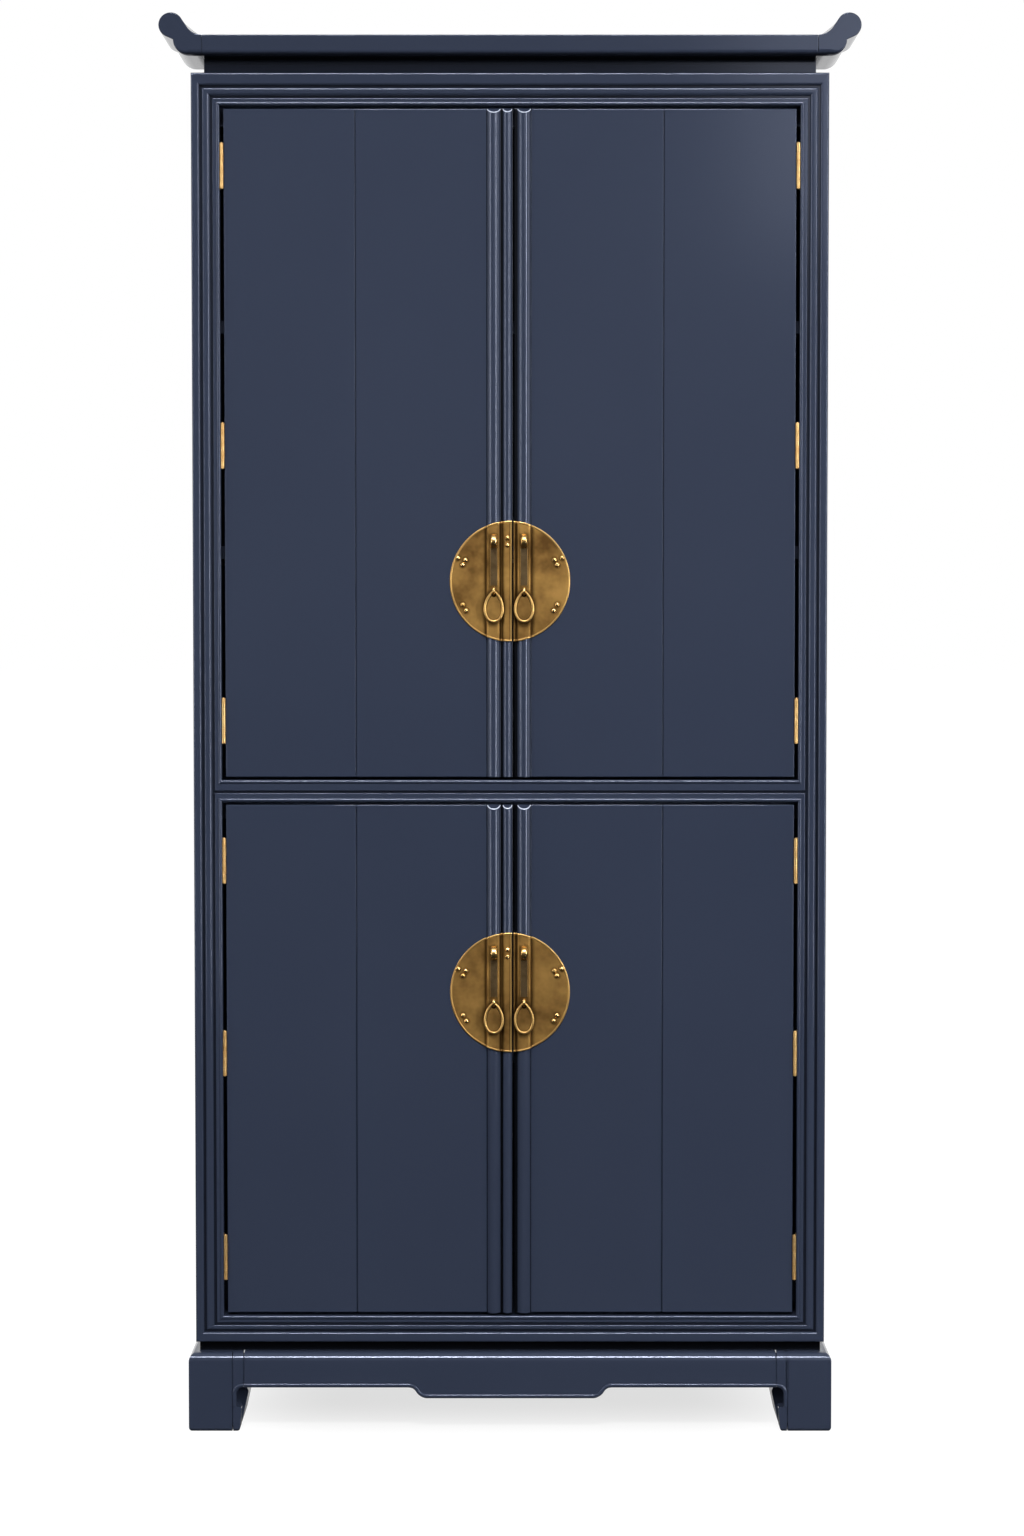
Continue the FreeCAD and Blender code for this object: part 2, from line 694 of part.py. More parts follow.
side_section = [
    (-base_side, apron_low),
    (apron_thickness - base_side, apron_low),
    (apron_thickness - base_side, base_height),
    (base_round - base_side, base_height, base_round, 1),
    (-base_side, base_height - base_round),
]
side_run = (foot_back, base_middle * 2 - foot_back)
left_apron = keep(prism("side_apron", "y", side_section, *side_run), "left_apron")
keep(mirror("side_apron_right", left_apron, "x"), "right_apron")


# Cornice: recessed neck, top board, front moulding and two upswept ends
neck_half = half_width - cornice_neck_inset
cornice_front = face - cornice_overhang
moulding_back = cornice_front + moulding_depth
cornice_span = (-neck_half, neck_half)
cornice_levels = (cornice_low, cornice_high)
neck_rear = back - cornice_neck_inset
cornice_insets = (cornice_neck_inset, cornice_neck_inset)
cornice_neck = neck_frame("cornice_bars", *cornice_insets, neck_rear, case_high, cornice_low)
keep(cornice_neck, "cornice_neck")
keep(block("cornice_board", cornice_span, (moulding_back, back), cornice_levels), "cornice_top")
moulding_section = [
    (cornice_front, cornice_low + cornice_chamfer),
    (cornice_front + cornice_chamfer, cornice_low),
    (moulding_back, cornice_low),
    (moulding_back, cornice_high),
    (cornice_front, cornice_high),
]
keep(prism("cornice_moulding", "x", moulding_section, *cornice_span), "front_cornice")

# The flare's sweep is the arc that touches the cornice top at the seam and the lobe from inside.
lobe_x = -half_width - lobe_reach
lobe_z = cornice_high + lobe_rise
sweep_run = -neck_half - lobe_x
sweep_radius = (
    (sweep_run * sweep_run + lobe_rise * lobe_rise - lobe_radius * lobe_radius)
    / ((lobe_radius + lobe_rise) * 2)
)
sweep_share = lobe_radius / (sweep_radius + lobe_radius)
sweep_x = lobe_x + sweep_run * sweep_share
sweep_z = lobe_z + (sweep_radius - lobe_rise) * sweep_share
# The bulge's outermost point sends a straight line that touches the lobe from below.
bulge_x = -half_width - bulge_reach
bulge_z = cornice_low + bulge_radius
run_x = bulge_x - lobe_x
run_z = bulge_z - lobe_z
run_square = run_x * run_x + run_z * run_z
radius_square = lobe_radius * lobe_radius
along_run = radius_square / run_square
beside_run = lobe_radius * root(run_square - radius_square) / run_square
touch_x = lobe_x + run_x * along_run + run_z * beside_run
touch_z = lobe_z + run_z * along_run - run_x * beside_run
flare_outline = [
    (-neck_half, cornice_high, sweep_radius, -1),
    (sweep_x, sweep_z, lobe_radius, 1),
    (lobe_x, lobe_z + lobe_radius, lobe_radius, 1),
    (touch_x, touch_z),
    (bulge_x, bulge_z, bulge_radius, 1),
    (bulge_x + bulge_radius, cornice_low),
    (-neck_half, cornice_low),
]
flare_run = (cornice_front, cornice_front + flare_depth)
left_flare = keep(prism("flare", "y", flare_outline, *flare_run), "left_flare")
keep(mirror("flare_right", left_flare, "x"), "right_flare")

# Shelves on pins
shelf_span = (shelf_room - inner_half, inner_half - shelf_room)
shelf_boards = []
pins = []
for level in shelf_levels:
    depth = (shelf_front, inner_back - shelf_room)
    shelf_boards.append(block("shelf_board", shelf_span, depth, (level, level + panel)))
    for inner in (-inner_half, inner_half):
        for row in shelf_pin_rows:
            ends = (inner - shelf_pin_reach, inner + shelf_pin_reach)
            pins.append(rod("shelf_pin", "x", (row, level - shelf_pin), shelf_pin, *ends))
keep(shelf_boards[0], "lower_shelf")
keep(group("upper_shelf_boards", *shelf_boards[1:]), "upper_shelves")
keep(group("pins", *pins), "shelf_pins")

# Hinges: one leaf on the stile with three knuckles, one on the door with two, and a pin
KNUCKLES = 5


def hinge_leaf(name, sign, knuckles):
    """A leaf about the axis at the origin; sign says on which side of the axis its plate lies."""
    near = door_side_gap / 2
    far = near + leaf_thickness
    web = (knuckle_radius - leaf_thickness, knuckle_radius)
    half = hinge_length / 2

    def across(first, last):
        return (first, last) if sign > 0 else (-last, -first)

    pieces = [block(f"{name}_plate", across(near, far), (web[0], leaf_depth), (-half, half))]
    step = hinge_length / KNUCKLES
    for index in knuckles:
        ends = (step * index - half + knuckle_gap / 2, step * (index + 1) - half - knuckle_gap / 2)
        pieces.append(rod(f"{name}_knuckle", "z", (0, 0), knuckle_radius, *ends))
        pieces.append(block(f"{name}_web", across(as_size(0), far), web, ends))
    bore = rod(f"{name}_bore", "z", (0, 0), pin_radius + pin_clearance, -half, half)
    return cut(name, fuse(f"{name}_blank", *pieces), bore)


frame_leaf = hinge_leaf("frame_leaf", -1, (0, 2, 4))
door_leaf = hinge_leaf("door_leaf", 1, (1, 3))
cap_low = hinge_length / 2 - knuckle_gap / 2
hinge_pin = fuse(
    "hinge_pin",
    rod("pin_shank", "z", (0, 0), pin_radius, -cap_low, cap_low),
    rod("pin_cap_high", "z", (0, 0), cap_radius, cap_low, cap_low + cap_height),
    rod("pin_cap_low", "z", (0, 0), cap_radius, -cap_low - cap_height, -cap_low),
)
HALF_TURN = FreeCAD.Rotation(FreeCAD.Vector(0, 1, 0), 180)


def hinged(name, source, side, levels):
    """Copies of a hinge piece on one side; the right side is turned end for end."""
    x, turn = (-hinge_x, FreeCAD.Rotation()) if side == "left" else (hinge_x, HALF_TURN)
    return [copy(f"{name}_{side}", source, (x, hinge_y, level), turn) for level in levels]


fixed_leaves = []
hinge_pins = []
for side in ("left", "right"):
    for tier in hinge_places:
        fixed_leaves += hinged("fixed_leaf", frame_leaf, side, tier)
        hinge_pins += hinged("pin", hinge_pin, side, tier)
keep(group("fixed_leaves", *fixed_leaves), "hinge_frame_leaves")
keep(group("all_pins", *hinge_pins), "hinge_pins")

# Door stop rails with a magnet for each door
slim_end = left_edge - reed_margin
slim_start = slim_end - slim_reed
left_reed_end = slim_start - reed_groove
left_reed_start = left_reed_end - wide_reed
right_reed_start = right_edge + right_inset
right_reed_end = right_reed_start + wide_reed
strike_x = {"left": left_edge - strike_inset, "right": right_edge + strike_inset}
rails = []
magnets = []
for tier, top, carrier in (("lower", middle_low, divider_low), ("upper", opening_high, ceiling)):
    door_top = top - door_end_gap
    depth = (stop_front, stop_front + stop_thickness)
    rail = block(f"{tier}_stop", inside, depth, (door_top - stop_overlap, carrier))
    holes = []
    for side in ("left", "right"):
        centre = (strike_x[side], door_top - strike_drop)
        ends = (stop_front, stop_front + magnet_length)
        holes.append(rod(f"{tier}_magnet_hole", "y", centre, magnet_radius + magnet_room, *ends))
        magnets.append(rod(f"{tier}_magnet", "y", centre, magnet_radius, *ends))
    rails.append(cut(f"{tier}_stop_bored", rail, *holes))
keep(group("stop_rails", *rails), "door_stops")
keep(group("magnets", *magnets), "magnetic_catches")


# Doors

def reed_radius(width, rise):
    return (width * width / 4 + rise * rise) / (rise * 2)


wide_radius = reed_radius(wide_reed, wide_rise)
slim_radius = reed_radius(slim_reed, slim_rise)


def boards(door, side, span, stile_line, levels, hinges):
    """Two boards with a tongue and groove; the outer one is mortised for the hinges."""
    sign = 1 if side == "left" else -1
    edge = span[0] if side == "left" else span[1]
    seam = (edge + stile_line) / 2
    near = seam - sign * (seam_gap / 2)
    beyond = seam + sign * (seam_gap / 2)
    cheek = door_face + (door_thickness - tongue_thickness) / 2
    cheek_back = cheek + tongue_thickness
    tip = near + sign * tongue
    outer_outline = [
        (edge, door_face),
        (near - sign * seam_ease, door_face),
        (near, door_face + seam_ease),
        (near, cheek),
        (tip, cheek),
        (tip, cheek_back),
        (near, cheek_back),
        (near, door_back),
        (edge, door_back),
    ]
    pocket = tip + sign * groove_room
    inner_outline = [
        (beyond + sign * seam_ease, door_face),
        (stile_line, door_face),
        (stile_line, door_back),
        (beyond, door_back),
        (beyond, cheek_back),
        (pocket, cheek_back),
        (pocket, cheek),
        (beyond, cheek),
        (beyond, door_face + seam_ease),
    ]
    outer = prism(f"{door}_outer", "z", outer_outline, *levels)
    mortises = []
    for level in hinges:
        deep = edge + sign * leaf_thickness
        mortise_x = (edge, deep) if side == "left" else (deep, edge)
        mortise_z = (level - mortise_half, level + mortise_half)
        mortise_y = (door_face, hinge_y + leaf_depth)
        mortises.append(block(f"{door}_mortise", mortise_x, mortise_y, mortise_z))
    outer = cut(f"{door}_outer_mortised", outer, *mortises)
    return group(f"{door}_board_pair", outer, prism(f"{door}_inner", "z", inner_outline, *levels))


def reeded_stile(door, side, stile_line, levels):
    """The meeting stile: two reeds on a left door and one on a right door, cut slanting at the top."""
    if side == "left":
        front = [
            (stile_line, door_face),
            (left_reed_start, door_face, wide_radius, 1),
            (left_reed_end, door_face),
            (slim_start, door_face, slim_radius, 1),
            (slim_end, door_face),
            (left_edge, door_face),
        ]
        ends = (stile_line, left_edge)
    else:
        front = [
            (right_edge, door_face),
            (right_reed_start, door_face, wide_radius, 1),
            (right_reed_end, door_face),
            (stile_line, door_face),
        ]
        ends = (right_edge, stile_line)
    bar = prism(f"{door}_reeds", "z", [*front, (ends[1], door_back), (ends[0], door_back)], *levels)
    reach = wide_rise * 2
    tip = door_face - reach
    slant = [
        (door_face, levels[1]),
        (tip, levels[1]),
        (tip, levels[1] - reach * reed_slant),
    ]
    wedge = prism(f"{door}_wedge", "x", slant, *ends)
    return cut(f"{door}_stile_cut", bar, wedge)


flat_front = door_face - plate_thickness
wide_crest = door_face - wide_rise - plate_room - plate_thickness
slim_crest = door_face - slim_rise - plate_room - plate_thickness
cover = plate_room + plate_thickness


def half_plate(door, side, centre):
    """Half of the round plate, a sheet bent over the reeds of its door."""
    dip = wide_crest + plate_dip
    dip_back = dip + plate_thickness
    wide_back = wide_crest + plate_thickness
    rim = plate_radius + plate_thickness
    if side == "left":
        low, high = left_reed_start - cover, left_reed_end + cover
        slim_low = slim_start - cover
        cut_x = left_edge - plate_cut
        slim_back = slim_crest + plate_thickness
        outline = [
            (-rim, door_face),
            (low + plate_thickness, door_face),
            (low + plate_thickness, wide_back),
            (high - plate_thickness, wide_back),
            (high - plate_thickness, dip_back),
            (slim_low + plate_thickness, dip_back),
            (slim_low + plate_thickness, slim_back),
            (cut_x, slim_back),
            (cut_x, slim_crest),
            (slim_low + plate_bend, slim_crest, plate_bend, -1),
            (slim_low, slim_crest + plate_bend),
            (slim_low, dip),
            (high, dip),
            (high, wide_crest + plate_bend, plate_bend, -1),
            (high - plate_bend, wide_crest),
            (low + plate_bend, wide_crest, plate_bend, -1),
            (low, wide_crest + plate_bend),
            (low, flat_front),
            (-rim, flat_front),
        ]
    else:
        low, high = right_reed_start - cover, right_reed_end + cover
        lip_x = right_edge - plate_lip
        outline = [
            (lip_x, dip),
            (lip_x, dip_back),
            (low + plate_thickness, dip_back),
            (low + plate_thickness, wide_back),
            (high - plate_thickness, wide_back),
            (high - plate_thickness, door_face),
            (rim, door_face),
            (rim, flat_front),
            (high, flat_front),
            (high, wide_crest + plate_bend, plate_bend, -1),
            (high - plate_bend, wide_crest),
            (low + plate_bend, wide_crest, plate_bend, -1),
            (low, wide_crest + plate_bend),
            (low, dip),
        ]
    sheet_bent = prism(f"{door}_sheet", "z", outline, centre - plate_radius, centre + plate_radius)
    disc = rod(f"{door}_disc", "y", (0, centre), plate_radius, wide_crest - plate_bend, door_face)
    return common(f"{door}_plate_round", sheet_bent, disc)


# Rivets on the flat of each half plate: distance from the plate's centre line and height
RIVETS = ((76, 34), (65, 31), (69, 24), (69, -34.5), (64, -43))
rivet_places = []
for number, (out, rise) in enumerate(RIVETS, start=1):
    out_size = dimension(f"rivet_out_{number}", out, "rivet from the plate's centre line")
    rise_size = dimension(f"rivet_rise_{number}", rise, "rivet above the plate centre")
    rivet_places.append((out_size, rise_size))
stud_rises = (
    dimension("high_stud_rise", 63, "upper pin on the centre reed above the plate centre"),
    dimension("low_stud_rise", 52.5, "lower pin on the centre reed above the plate centre"),
)
doc.recompute()


def plate_fittings(door, side, reed_x, centre):
    """Domed rivets, the staple, the strap and the pull eye, and on a left door two small pins."""
    sign = -1 if side == "left" else 1
    pieces = []
    for out, rise in rivet_places:
        pieces.append(dome(f"{door}_rivet", (sign * out, flat_front, centre + rise), rivet_radius))
    if side == "left":
        slim_x = (slim_start + slim_end) / 2
        for rise in stud_rises:
            pieces.append(dome(f"{door}_stud", (slim_x, slim_crest, centre + rise), stud_radius))
    nose = wide_crest - staple_root
    level = centre + staple_rise
    staple_outline = [
        (wide_crest, level + staple_radius),
        (nose, level + staple_radius, staple_radius, 1),
        (nose - staple_radius, level, staple_radius, 1),
        (nose, level - staple_radius),
        (wide_crest, level - staple_radius),
    ]
    sides = (reed_x - staple_width / 2, reed_x + staple_width / 2)
    staple = prism(f"{door}_staple_solid", "x", staple_outline, *sides)
    bore = rod(f"{door}_staple_bore", "x", (nose, level), staple_bore, *sides)
    pieces.append(cut(f"{door}_staple", staple, bore))
    strap_x = (reed_x - strap_width / 2, reed_x + strap_width / 2)
    strap_z = (centre - strap_drop, level - staple_radius)
    pieces.append(block(f"{door}_strap", strap_x, (wide_crest - strap_thickness, wide_crest), strap_z))
    ring = doc.addObject("Part::Torus", f"{door}_ring")
    bind(ring, "Radius1", eye_radius)
    bind(ring, "Radius2", eye_wire)
    place(ring, (reed_x, eye_y, centre - eye_drop), ALONG["x"])
    post_front = wide_crest - eye_wire * 2
    post = rod(f"{door}_post", "y", (reed_x, centre - eye_drop), eye_post, post_front, wide_crest)
    pieces.append(fuse(f"{door}_eye", ring, post))
    return group(f"{door}_fittings", *pieces)


eye_y = wide_crest - eye_radius - eye_wire


def teardrop(door, reed_x, centre):
    """The pull: a flat teardrop with a hole that the eye passes through."""
    eye_z = centre - eye_drop
    top_z = eye_z + pull_top
    bottom_z = eye_z - pull_length
    widest_z = top_z - pull_widest
    # Each side arc starts upright at the widest place and touches the crown or the bowl from inside.
    ends = []
    for end_radius, reach in ((pull_crown, pull_widest), (pull_bowl, widest_z - bottom_z)):
        away = reach - end_radius
        side_radius = (
            (pull_half * pull_half + away * away - end_radius * end_radius)
            / ((pull_half - end_radius) * 2)
        )
        share = side_radius / (side_radius - end_radius)
        beyond = side_radius - pull_half
        ends.append((side_radius, beyond * share - beyond, away * share))
    (high_side, high_x, high_rise), (low_side, low_x, low_fall) = ends
    high_z = widest_z + high_rise
    low_z = widest_z - low_fall
    outline = [
        (reed_x, bottom_z, pull_bowl, 1),
        (reed_x + low_x, low_z, low_side, 1),
        (reed_x + pull_half, widest_z, high_side, 1),
        (reed_x + high_x, high_z, pull_crown, 1),
        (reed_x - high_x, high_z, high_side, 1),
        (reed_x - pull_half, widest_z, low_side, 1),
        (reed_x - low_x, low_z, pull_bowl, 1),
    ]
    depth = (eye_y - pull_thickness / 2, eye_y + pull_thickness / 2)
    plate = prism(f"{door}_teardrop", "y", outline, *depth)
    hole_z = eye_z + pull_top - pull_bar - pull_hole
    hole = rod(f"{door}_pull_hole", "y", (reed_x, hole_z), pull_hole, *depth)
    return cut(f"{door}_pull_bored", plate, hole)


tiers = (
    ("upper", middle_high, opening_high, hinge_places[1], upper_plate_rise),
    ("lower", opening_low, middle_low, hinge_places[0], lower_plate_rise),
)
sides = (
    ("left", (-door_half, left_edge), left_reed_start - reed_margin, (left_reed_start + left_reed_end) / 2),
    ("right", (right_edge, door_half), right_reed_end + reed_margin, (right_reed_start + right_reed_end) / 2),
)
for tier, low, high, hinges, plate_rise in tiers:
    levels = (low + door_end_gap, high - door_end_gap)
    centre = levels[0] + plate_rise
    for side, span, stile_line, reed_x in sides:
        door = f"{tier}_{side}"
        keep(boards(door, side, span, stile_line, levels, hinges), f"{door}_door_boards")
        keep(reeded_stile(door, side, stile_line, levels), f"{door}_door_stile")
        keep(half_plate(door, side, centre), f"{door}_lock_plate")
        keep(plate_fittings(door, side, reed_x, centre), f"{door}_plate_fittings")
        keep(teardrop(door, reed_x, centre), f"{door}_pull")
        leaves = hinged(f"{door}_leaf", door_leaf, side, hinges)
        keep(group(f"{door}_leaves", *leaves), f"{door}_hinge_leaves")
        strike_at = (strike_x[side], levels[1] - strike_drop)
        ends = (door_back, door_back + strike_thickness)
        keep(rod(f"{door}_disc_strike", "y", strike_at, strike_radius, *ends), f"{door}_strike")

doc.recompute()

# Every object has to be sound before anything is written
for item in doc.Objects:
    if "Invalid" in item.State or "Error" in item.State:
        raise RuntimeError(f"{item.Name} failed: {item.State}")
for item in kept:
    if item.Shape.isNull() or not item.Shape.isValid() or not item.Shape.Solids:
        raise RuntimeError(f"{item.Label} has no valid solid")

os.makedirs("parts", exist_ok=True)
for item in kept:
    item.Shape.exportStep(f"parts/{item.Label}.step")
    print(item.Label, len(item.Shape.Solids), round(item.Shape.Volume / 1000, 2), "cm3")
print(len(kept), "sub-parts")
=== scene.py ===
# %% [markdown]
# # A navy hutch with split brass lock plates
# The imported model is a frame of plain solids: boards, rails, doors and fittings, each with a name and a
# place. This lesson dresses that frame. Every visible piece gets a finer mesh with eased edges and a finish
# of its own, and rides on the body that carries it, so that the doors and pulls still move.

# %% Load the frame
import math

import bmesh
import bpy
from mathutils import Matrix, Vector


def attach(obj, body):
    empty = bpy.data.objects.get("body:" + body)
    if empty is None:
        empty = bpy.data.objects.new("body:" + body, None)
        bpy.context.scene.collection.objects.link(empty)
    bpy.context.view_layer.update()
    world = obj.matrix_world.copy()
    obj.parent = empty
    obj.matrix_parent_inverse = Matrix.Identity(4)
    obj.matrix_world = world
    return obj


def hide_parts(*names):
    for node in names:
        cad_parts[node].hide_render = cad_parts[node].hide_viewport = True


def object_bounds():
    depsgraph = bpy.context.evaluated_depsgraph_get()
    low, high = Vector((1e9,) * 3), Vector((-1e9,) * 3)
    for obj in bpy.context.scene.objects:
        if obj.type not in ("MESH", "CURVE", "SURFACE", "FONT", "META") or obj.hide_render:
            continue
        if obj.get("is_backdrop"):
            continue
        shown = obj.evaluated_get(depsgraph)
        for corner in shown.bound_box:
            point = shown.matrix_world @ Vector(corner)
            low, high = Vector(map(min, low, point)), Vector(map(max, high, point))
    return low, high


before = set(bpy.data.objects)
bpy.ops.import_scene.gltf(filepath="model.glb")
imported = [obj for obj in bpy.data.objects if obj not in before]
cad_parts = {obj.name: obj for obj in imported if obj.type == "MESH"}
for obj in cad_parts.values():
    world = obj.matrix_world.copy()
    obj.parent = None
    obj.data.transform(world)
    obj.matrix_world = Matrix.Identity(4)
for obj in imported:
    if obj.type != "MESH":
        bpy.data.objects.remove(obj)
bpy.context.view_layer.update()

MM = 0.001
OUTWARD = {"left": -1, "right": 1}
DOORS = [(f"{tier}_{side}", tier, side) for tier in ("upper", "lower") for side in OUTWARD]

# %% [markdown]
# ## Finishes
# A finish starts from what the real surface is. Sprayed lacquer is a thin clear film on a dark ground: its
# colour is even, its gloss is satin, and close up it has a faint orange peel. Old sheet brass is a metal
# whose colour comes from its reflection, dulled unevenly by handling. Both are patterns on Object
# coordinates, so they stay in place on the piece. One small function adds a node, and one turns a written
# colour into the linear one that light needs.

# %% Two small helpers for finishes


def colour(code):
    """An sRGB hex colour as linear red, green, blue and alpha."""
    channels = [int(code[place:place + 2], 16) / 255 for place in (1, 3, 5)]
    linear = [c / 12.92 if c <= 0.04045 else ((c + 0.055) / 1.055) ** 2.4 for c in channels]
    return (*linear, 1)


def add(tree, kind, inputs=None, **settings):
    """Adds a node; inputs are values, sockets that they come from, or nodes that give them first."""
    node = tree.nodes.new(kind)
    for name, value in settings.items():
        setattr(node, name, value)
    for socket, value in (inputs or {}).items():
        source = value.outputs[0] if isinstance(value, bpy.types.Node) else value
        if isinstance(source, bpy.types.NodeSocket):
            tree.links.new(source, node.inputs[socket])
        else:
            node.inputs[socket].default_value = source
    return node


def new_finish(name, **shader_values):
    """A material, its node tree and its shader with plain values set on the shader's own sockets."""
    material = bpy.data.materials.new(name)
    material.use_nodes = True
    tree = material.node_tree
    shader = tree.nodes["Principled BSDF"]
    for socket, value in shader_values.items():
        shader.inputs[socket.replace("_", " ")].default_value = value
    return material, tree, shader


def with_wear_and_painted_light(tree, tint, edge, recess):
    """A tint that a piece's value turns to an edge colour (at 1) or a recess colour (at -1), and that value.
    It carries real worn edges and tarnish, and also painted highlights and painted shade.
    """
    wear_and_painted_light = add(tree, "ShaderNodeAttribute", attribute_name="wear_and_painted_light").outputs["Fac"]
    deep = add(tree, "ShaderNodeMapRange", {"Value": wear_and_painted_light, "From Max": -1.0})
    # towards 1 the colour turns to the edge colour, partly a painted highlight; towards -1 to the recess
    # colour, partly painted shade
    rubbed_and_highlight = add(tree, "ShaderNodeMix", {0: wear_and_painted_light, 6: tint, 7: colour(edge)}, data_type="RGBA")
    filled = add(tree, "ShaderNodeMix", {0: deep, 6: rubbed_and_highlight.outputs[2], 7: colour(recess)}, data_type="RGBA")
    return filled.outputs[2], wear_and_painted_light


def close_finish(material, tree, shader, tint, roughness, relief, strength):
    """Links the colour, the roughness and a relief of at most 0.2 mm."""
    bump = add(tree, "ShaderNodeBump", {"Height": relief, "Strength": strength, "Distance": 0.0002})
    for socket, value in (("Base Color", tint), ("Roughness", roughness), ("Normal", bump.outputs["Normal"])):
        tree.links.new(value, shader.inputs[socket])
    return material


# %% Sprayed lacquer, satin outside and matt inside


def sprayed_lacquer(name, dark, light, roughness, peel):
    """Polyurethane lacquer sprayed on wood: even navy, a slow drift in tone and gloss, fine orange peel."""
    material, tree, shader = new_finish(name, IOR=1.5, Specular_Tint=colour("#dbe3fb"))
    place = add(tree, "ShaderNodeTexCoord").outputs["Object"]
    # the coats differ a little over about 300 mm, the width of a spray pass
    drift = add(tree, "ShaderNodeTexNoise", {"Vector": place, "Scale": 1 / 0.3, "Detail": 2.0})
    tint = add(tree, "ShaderNodeMix", {0: drift, 6: colour(dark), 7: colour(light)}, data_type="RGBA")
    # edges that a piece's value marks are painted pale, a painted highlight, and recesses are painted black,
    # painted shade
    tint_with_painted_light, _ = with_wear_and_painted_light(tree, tint.outputs[2], "#c3cadc", "#07080c")
    # handling polishes it in patches of about 60 mm
    rubbed_and_highlight = add(tree, "ShaderNodeTexNoise", {"Vector": place, "Scale": 1 / 0.06, "Detail": 3.0})
    gloss = add(tree, "ShaderNodeMapRange", {
        "Value": rubbed_and_highlight, "From Min": 0.3, "From Max": 0.7,
        "To Min": roughness * 0.95, "To Max": roughness * 1.06})
    # orange peel is about 1.5 mm across; it is drawn at 4 mm so that it shows at all
    orange_peel = add(tree, "ShaderNodeTexNoise", {"Vector": place, "Scale": 1 / 0.004, "Detail": 1.0})
    return close_finish(material, tree, shader, tint_with_painted_light, gloss.outputs["Result"], orange_peel, peel)


satin_navy = sprayed_lacquer("satin_navy_lacquer", "#2e3546", "#32394a", 0.13, 0.0015)
matt_navy = sprayed_lacquer("matt_navy_lacquer", "#2a3142", "#303748", 0.55, 0.1)
print("lacquers:", satin_navy.name, matt_navy.name)

# %% Brass and steel


def worn_metal(name, dark, light, roughness, blotch_mm, scratch, bright="#e9c27c", tarnish="#3a2812"):
    """Sheet or cast metal: cloudy tarnish, uneven gloss, fine rubbing marks, bright edges, dark recesses."""
    material, tree, shader = new_finish(name, Metallic=1.0)
    place = add(tree, "ShaderNodeTexCoord").outputs["Object"]
    clouds = add(tree, "ShaderNodeTexNoise", {
        "Vector": place, "Scale": 1000 / blotch_mm, "Detail": 4.0, "Roughness": 0.6})
    spread = add(tree, "ShaderNodeMapRange", {"Value": clouds, "From Min": 0.34, "From Max": 0.64})
    tint = add(tree, "ShaderNodeMix", {0: spread, 6: colour(dark), 7: colour(light)}, data_type="RGBA")
    # hands rub edges bright and tarnish gathers in recesses; the same colours also paint highlights and shade
    # where a piece's value asks for them
    aged_with_painted_light, wear_and_painted_light = with_wear_and_painted_light(tree, tint.outputs[2], bright, tarnish)
    gloss = add(tree, "ShaderNodeMapRange", {
        "Value": clouds, "From Min": 0.3, "From Max": 0.7,
        "To Min": roughness * 1.25, "To Max": roughness * 0.85})
    polish = add(tree, "ShaderNodeMapRange", {
        "Value": wear_and_painted_light, "From Min": -1.0, "From Max": 1.0, "To Min": 1.3, "To Max": 0.7})
    dulled = add(tree, "ShaderNodeMath", {0: gloss, 1: polish}, operation="MULTIPLY")
    # rubbing marks are about 0.2 mm wide; they are drawn 0.8 mm wide and 6.25 mm long to show
    stretched = add(tree, "ShaderNodeMapping", {
        "Vector": place, "Scale": (1 / 0.0008, 1 / 0.0008, 1 / 0.00625)})
    marks = add(tree, "ShaderNodeTexNoise", {"Vector": stretched, "Scale": 1.0, "Detail": 2.0})
    return close_finish(material, tree, shader, aged_with_painted_light, dulled.outputs[0], marks, scratch)


aged_brass = worn_metal("aged_sheet_brass", "#5f4423", "#be9453", 0.48, 80, 0.015,
                        bright="#e0b670")
rubbed_brass = worn_metal("rubbed_cast_brass", "#c49a58", "#efca88", 0.26, 12, 0.015)
dull_strap = worn_metal("dull_bronze_strap", "#57462f", "#6f5d42", 0.45, 20, 0.03,
                        bright="#a97d3e")
bright_brass = worn_metal("polished_hinge_brass", "#c99d62", "#e2bd80", 0.42, 15, 0.03)
brushed_steel = worn_metal("brushed_steel", "#8f9092", "#b4b5b8", 0.35, 20, 0.1)
print("metals:", aged_brass.name, rubbed_brass.name, dull_strap.name, bright_brass.name, brushed_steel.name)

# %% [markdown]
# ## Shapes from outlines
# Nearly everything on this piece of furniture is a moulding: one section run along one direction. So most
# shapes start as a flat outline with rounded corners, swept into a closed bar. Sharp machine edges don't
# exist on lacquered wood, and an eased edge catches a line of light, so the bars get a small bevel on every
# convex edge.

# %% Outlines with rounded corners


def on_arc(centre, radius, start, end, steps):
    """Points on an arc between two angles in degrees."""
    spots = []
    for step in range(steps + 1):
        angle = math.radians(start + (end - start) * step / steps)
        spots.append((centre[0] + radius * math.cos(angle), centre[1] + radius * math.sin(angle)))
    return spots


def rounded(corners, steps=6):
    """An outline whose corners (u, v, radius) are rounded; a corner (u, v) stays sharp."""
    points = []
    count = len(corners)
    for index, corner in enumerate(corners):
        here = Vector(corner[:2])
        if len(corner) < 3:
            points.append(tuple(here))
            continue
        back = (Vector(corners[index - 1][:2]) - here).normalized()
        ahead = (Vector(corners[(index + 1) % count][:2]) - here).normalized()
        half = back.angle(ahead) / 2
        centre = here + (back + ahead).normalized() * (corner[2] / math.sin(half))
        first = here + back * (corner[2] / math.tan(half)) - centre
        last = here + ahead * (corner[2] / math.tan(half)) - centre
        start = math.degrees(math.atan2(first.y, first.x))
        turn = (math.degrees(math.atan2(last.y, last.x)) - start + 180) % 360 - 180
        points += on_arc(centre, corner[2], start, start + turn, steps)
    return points


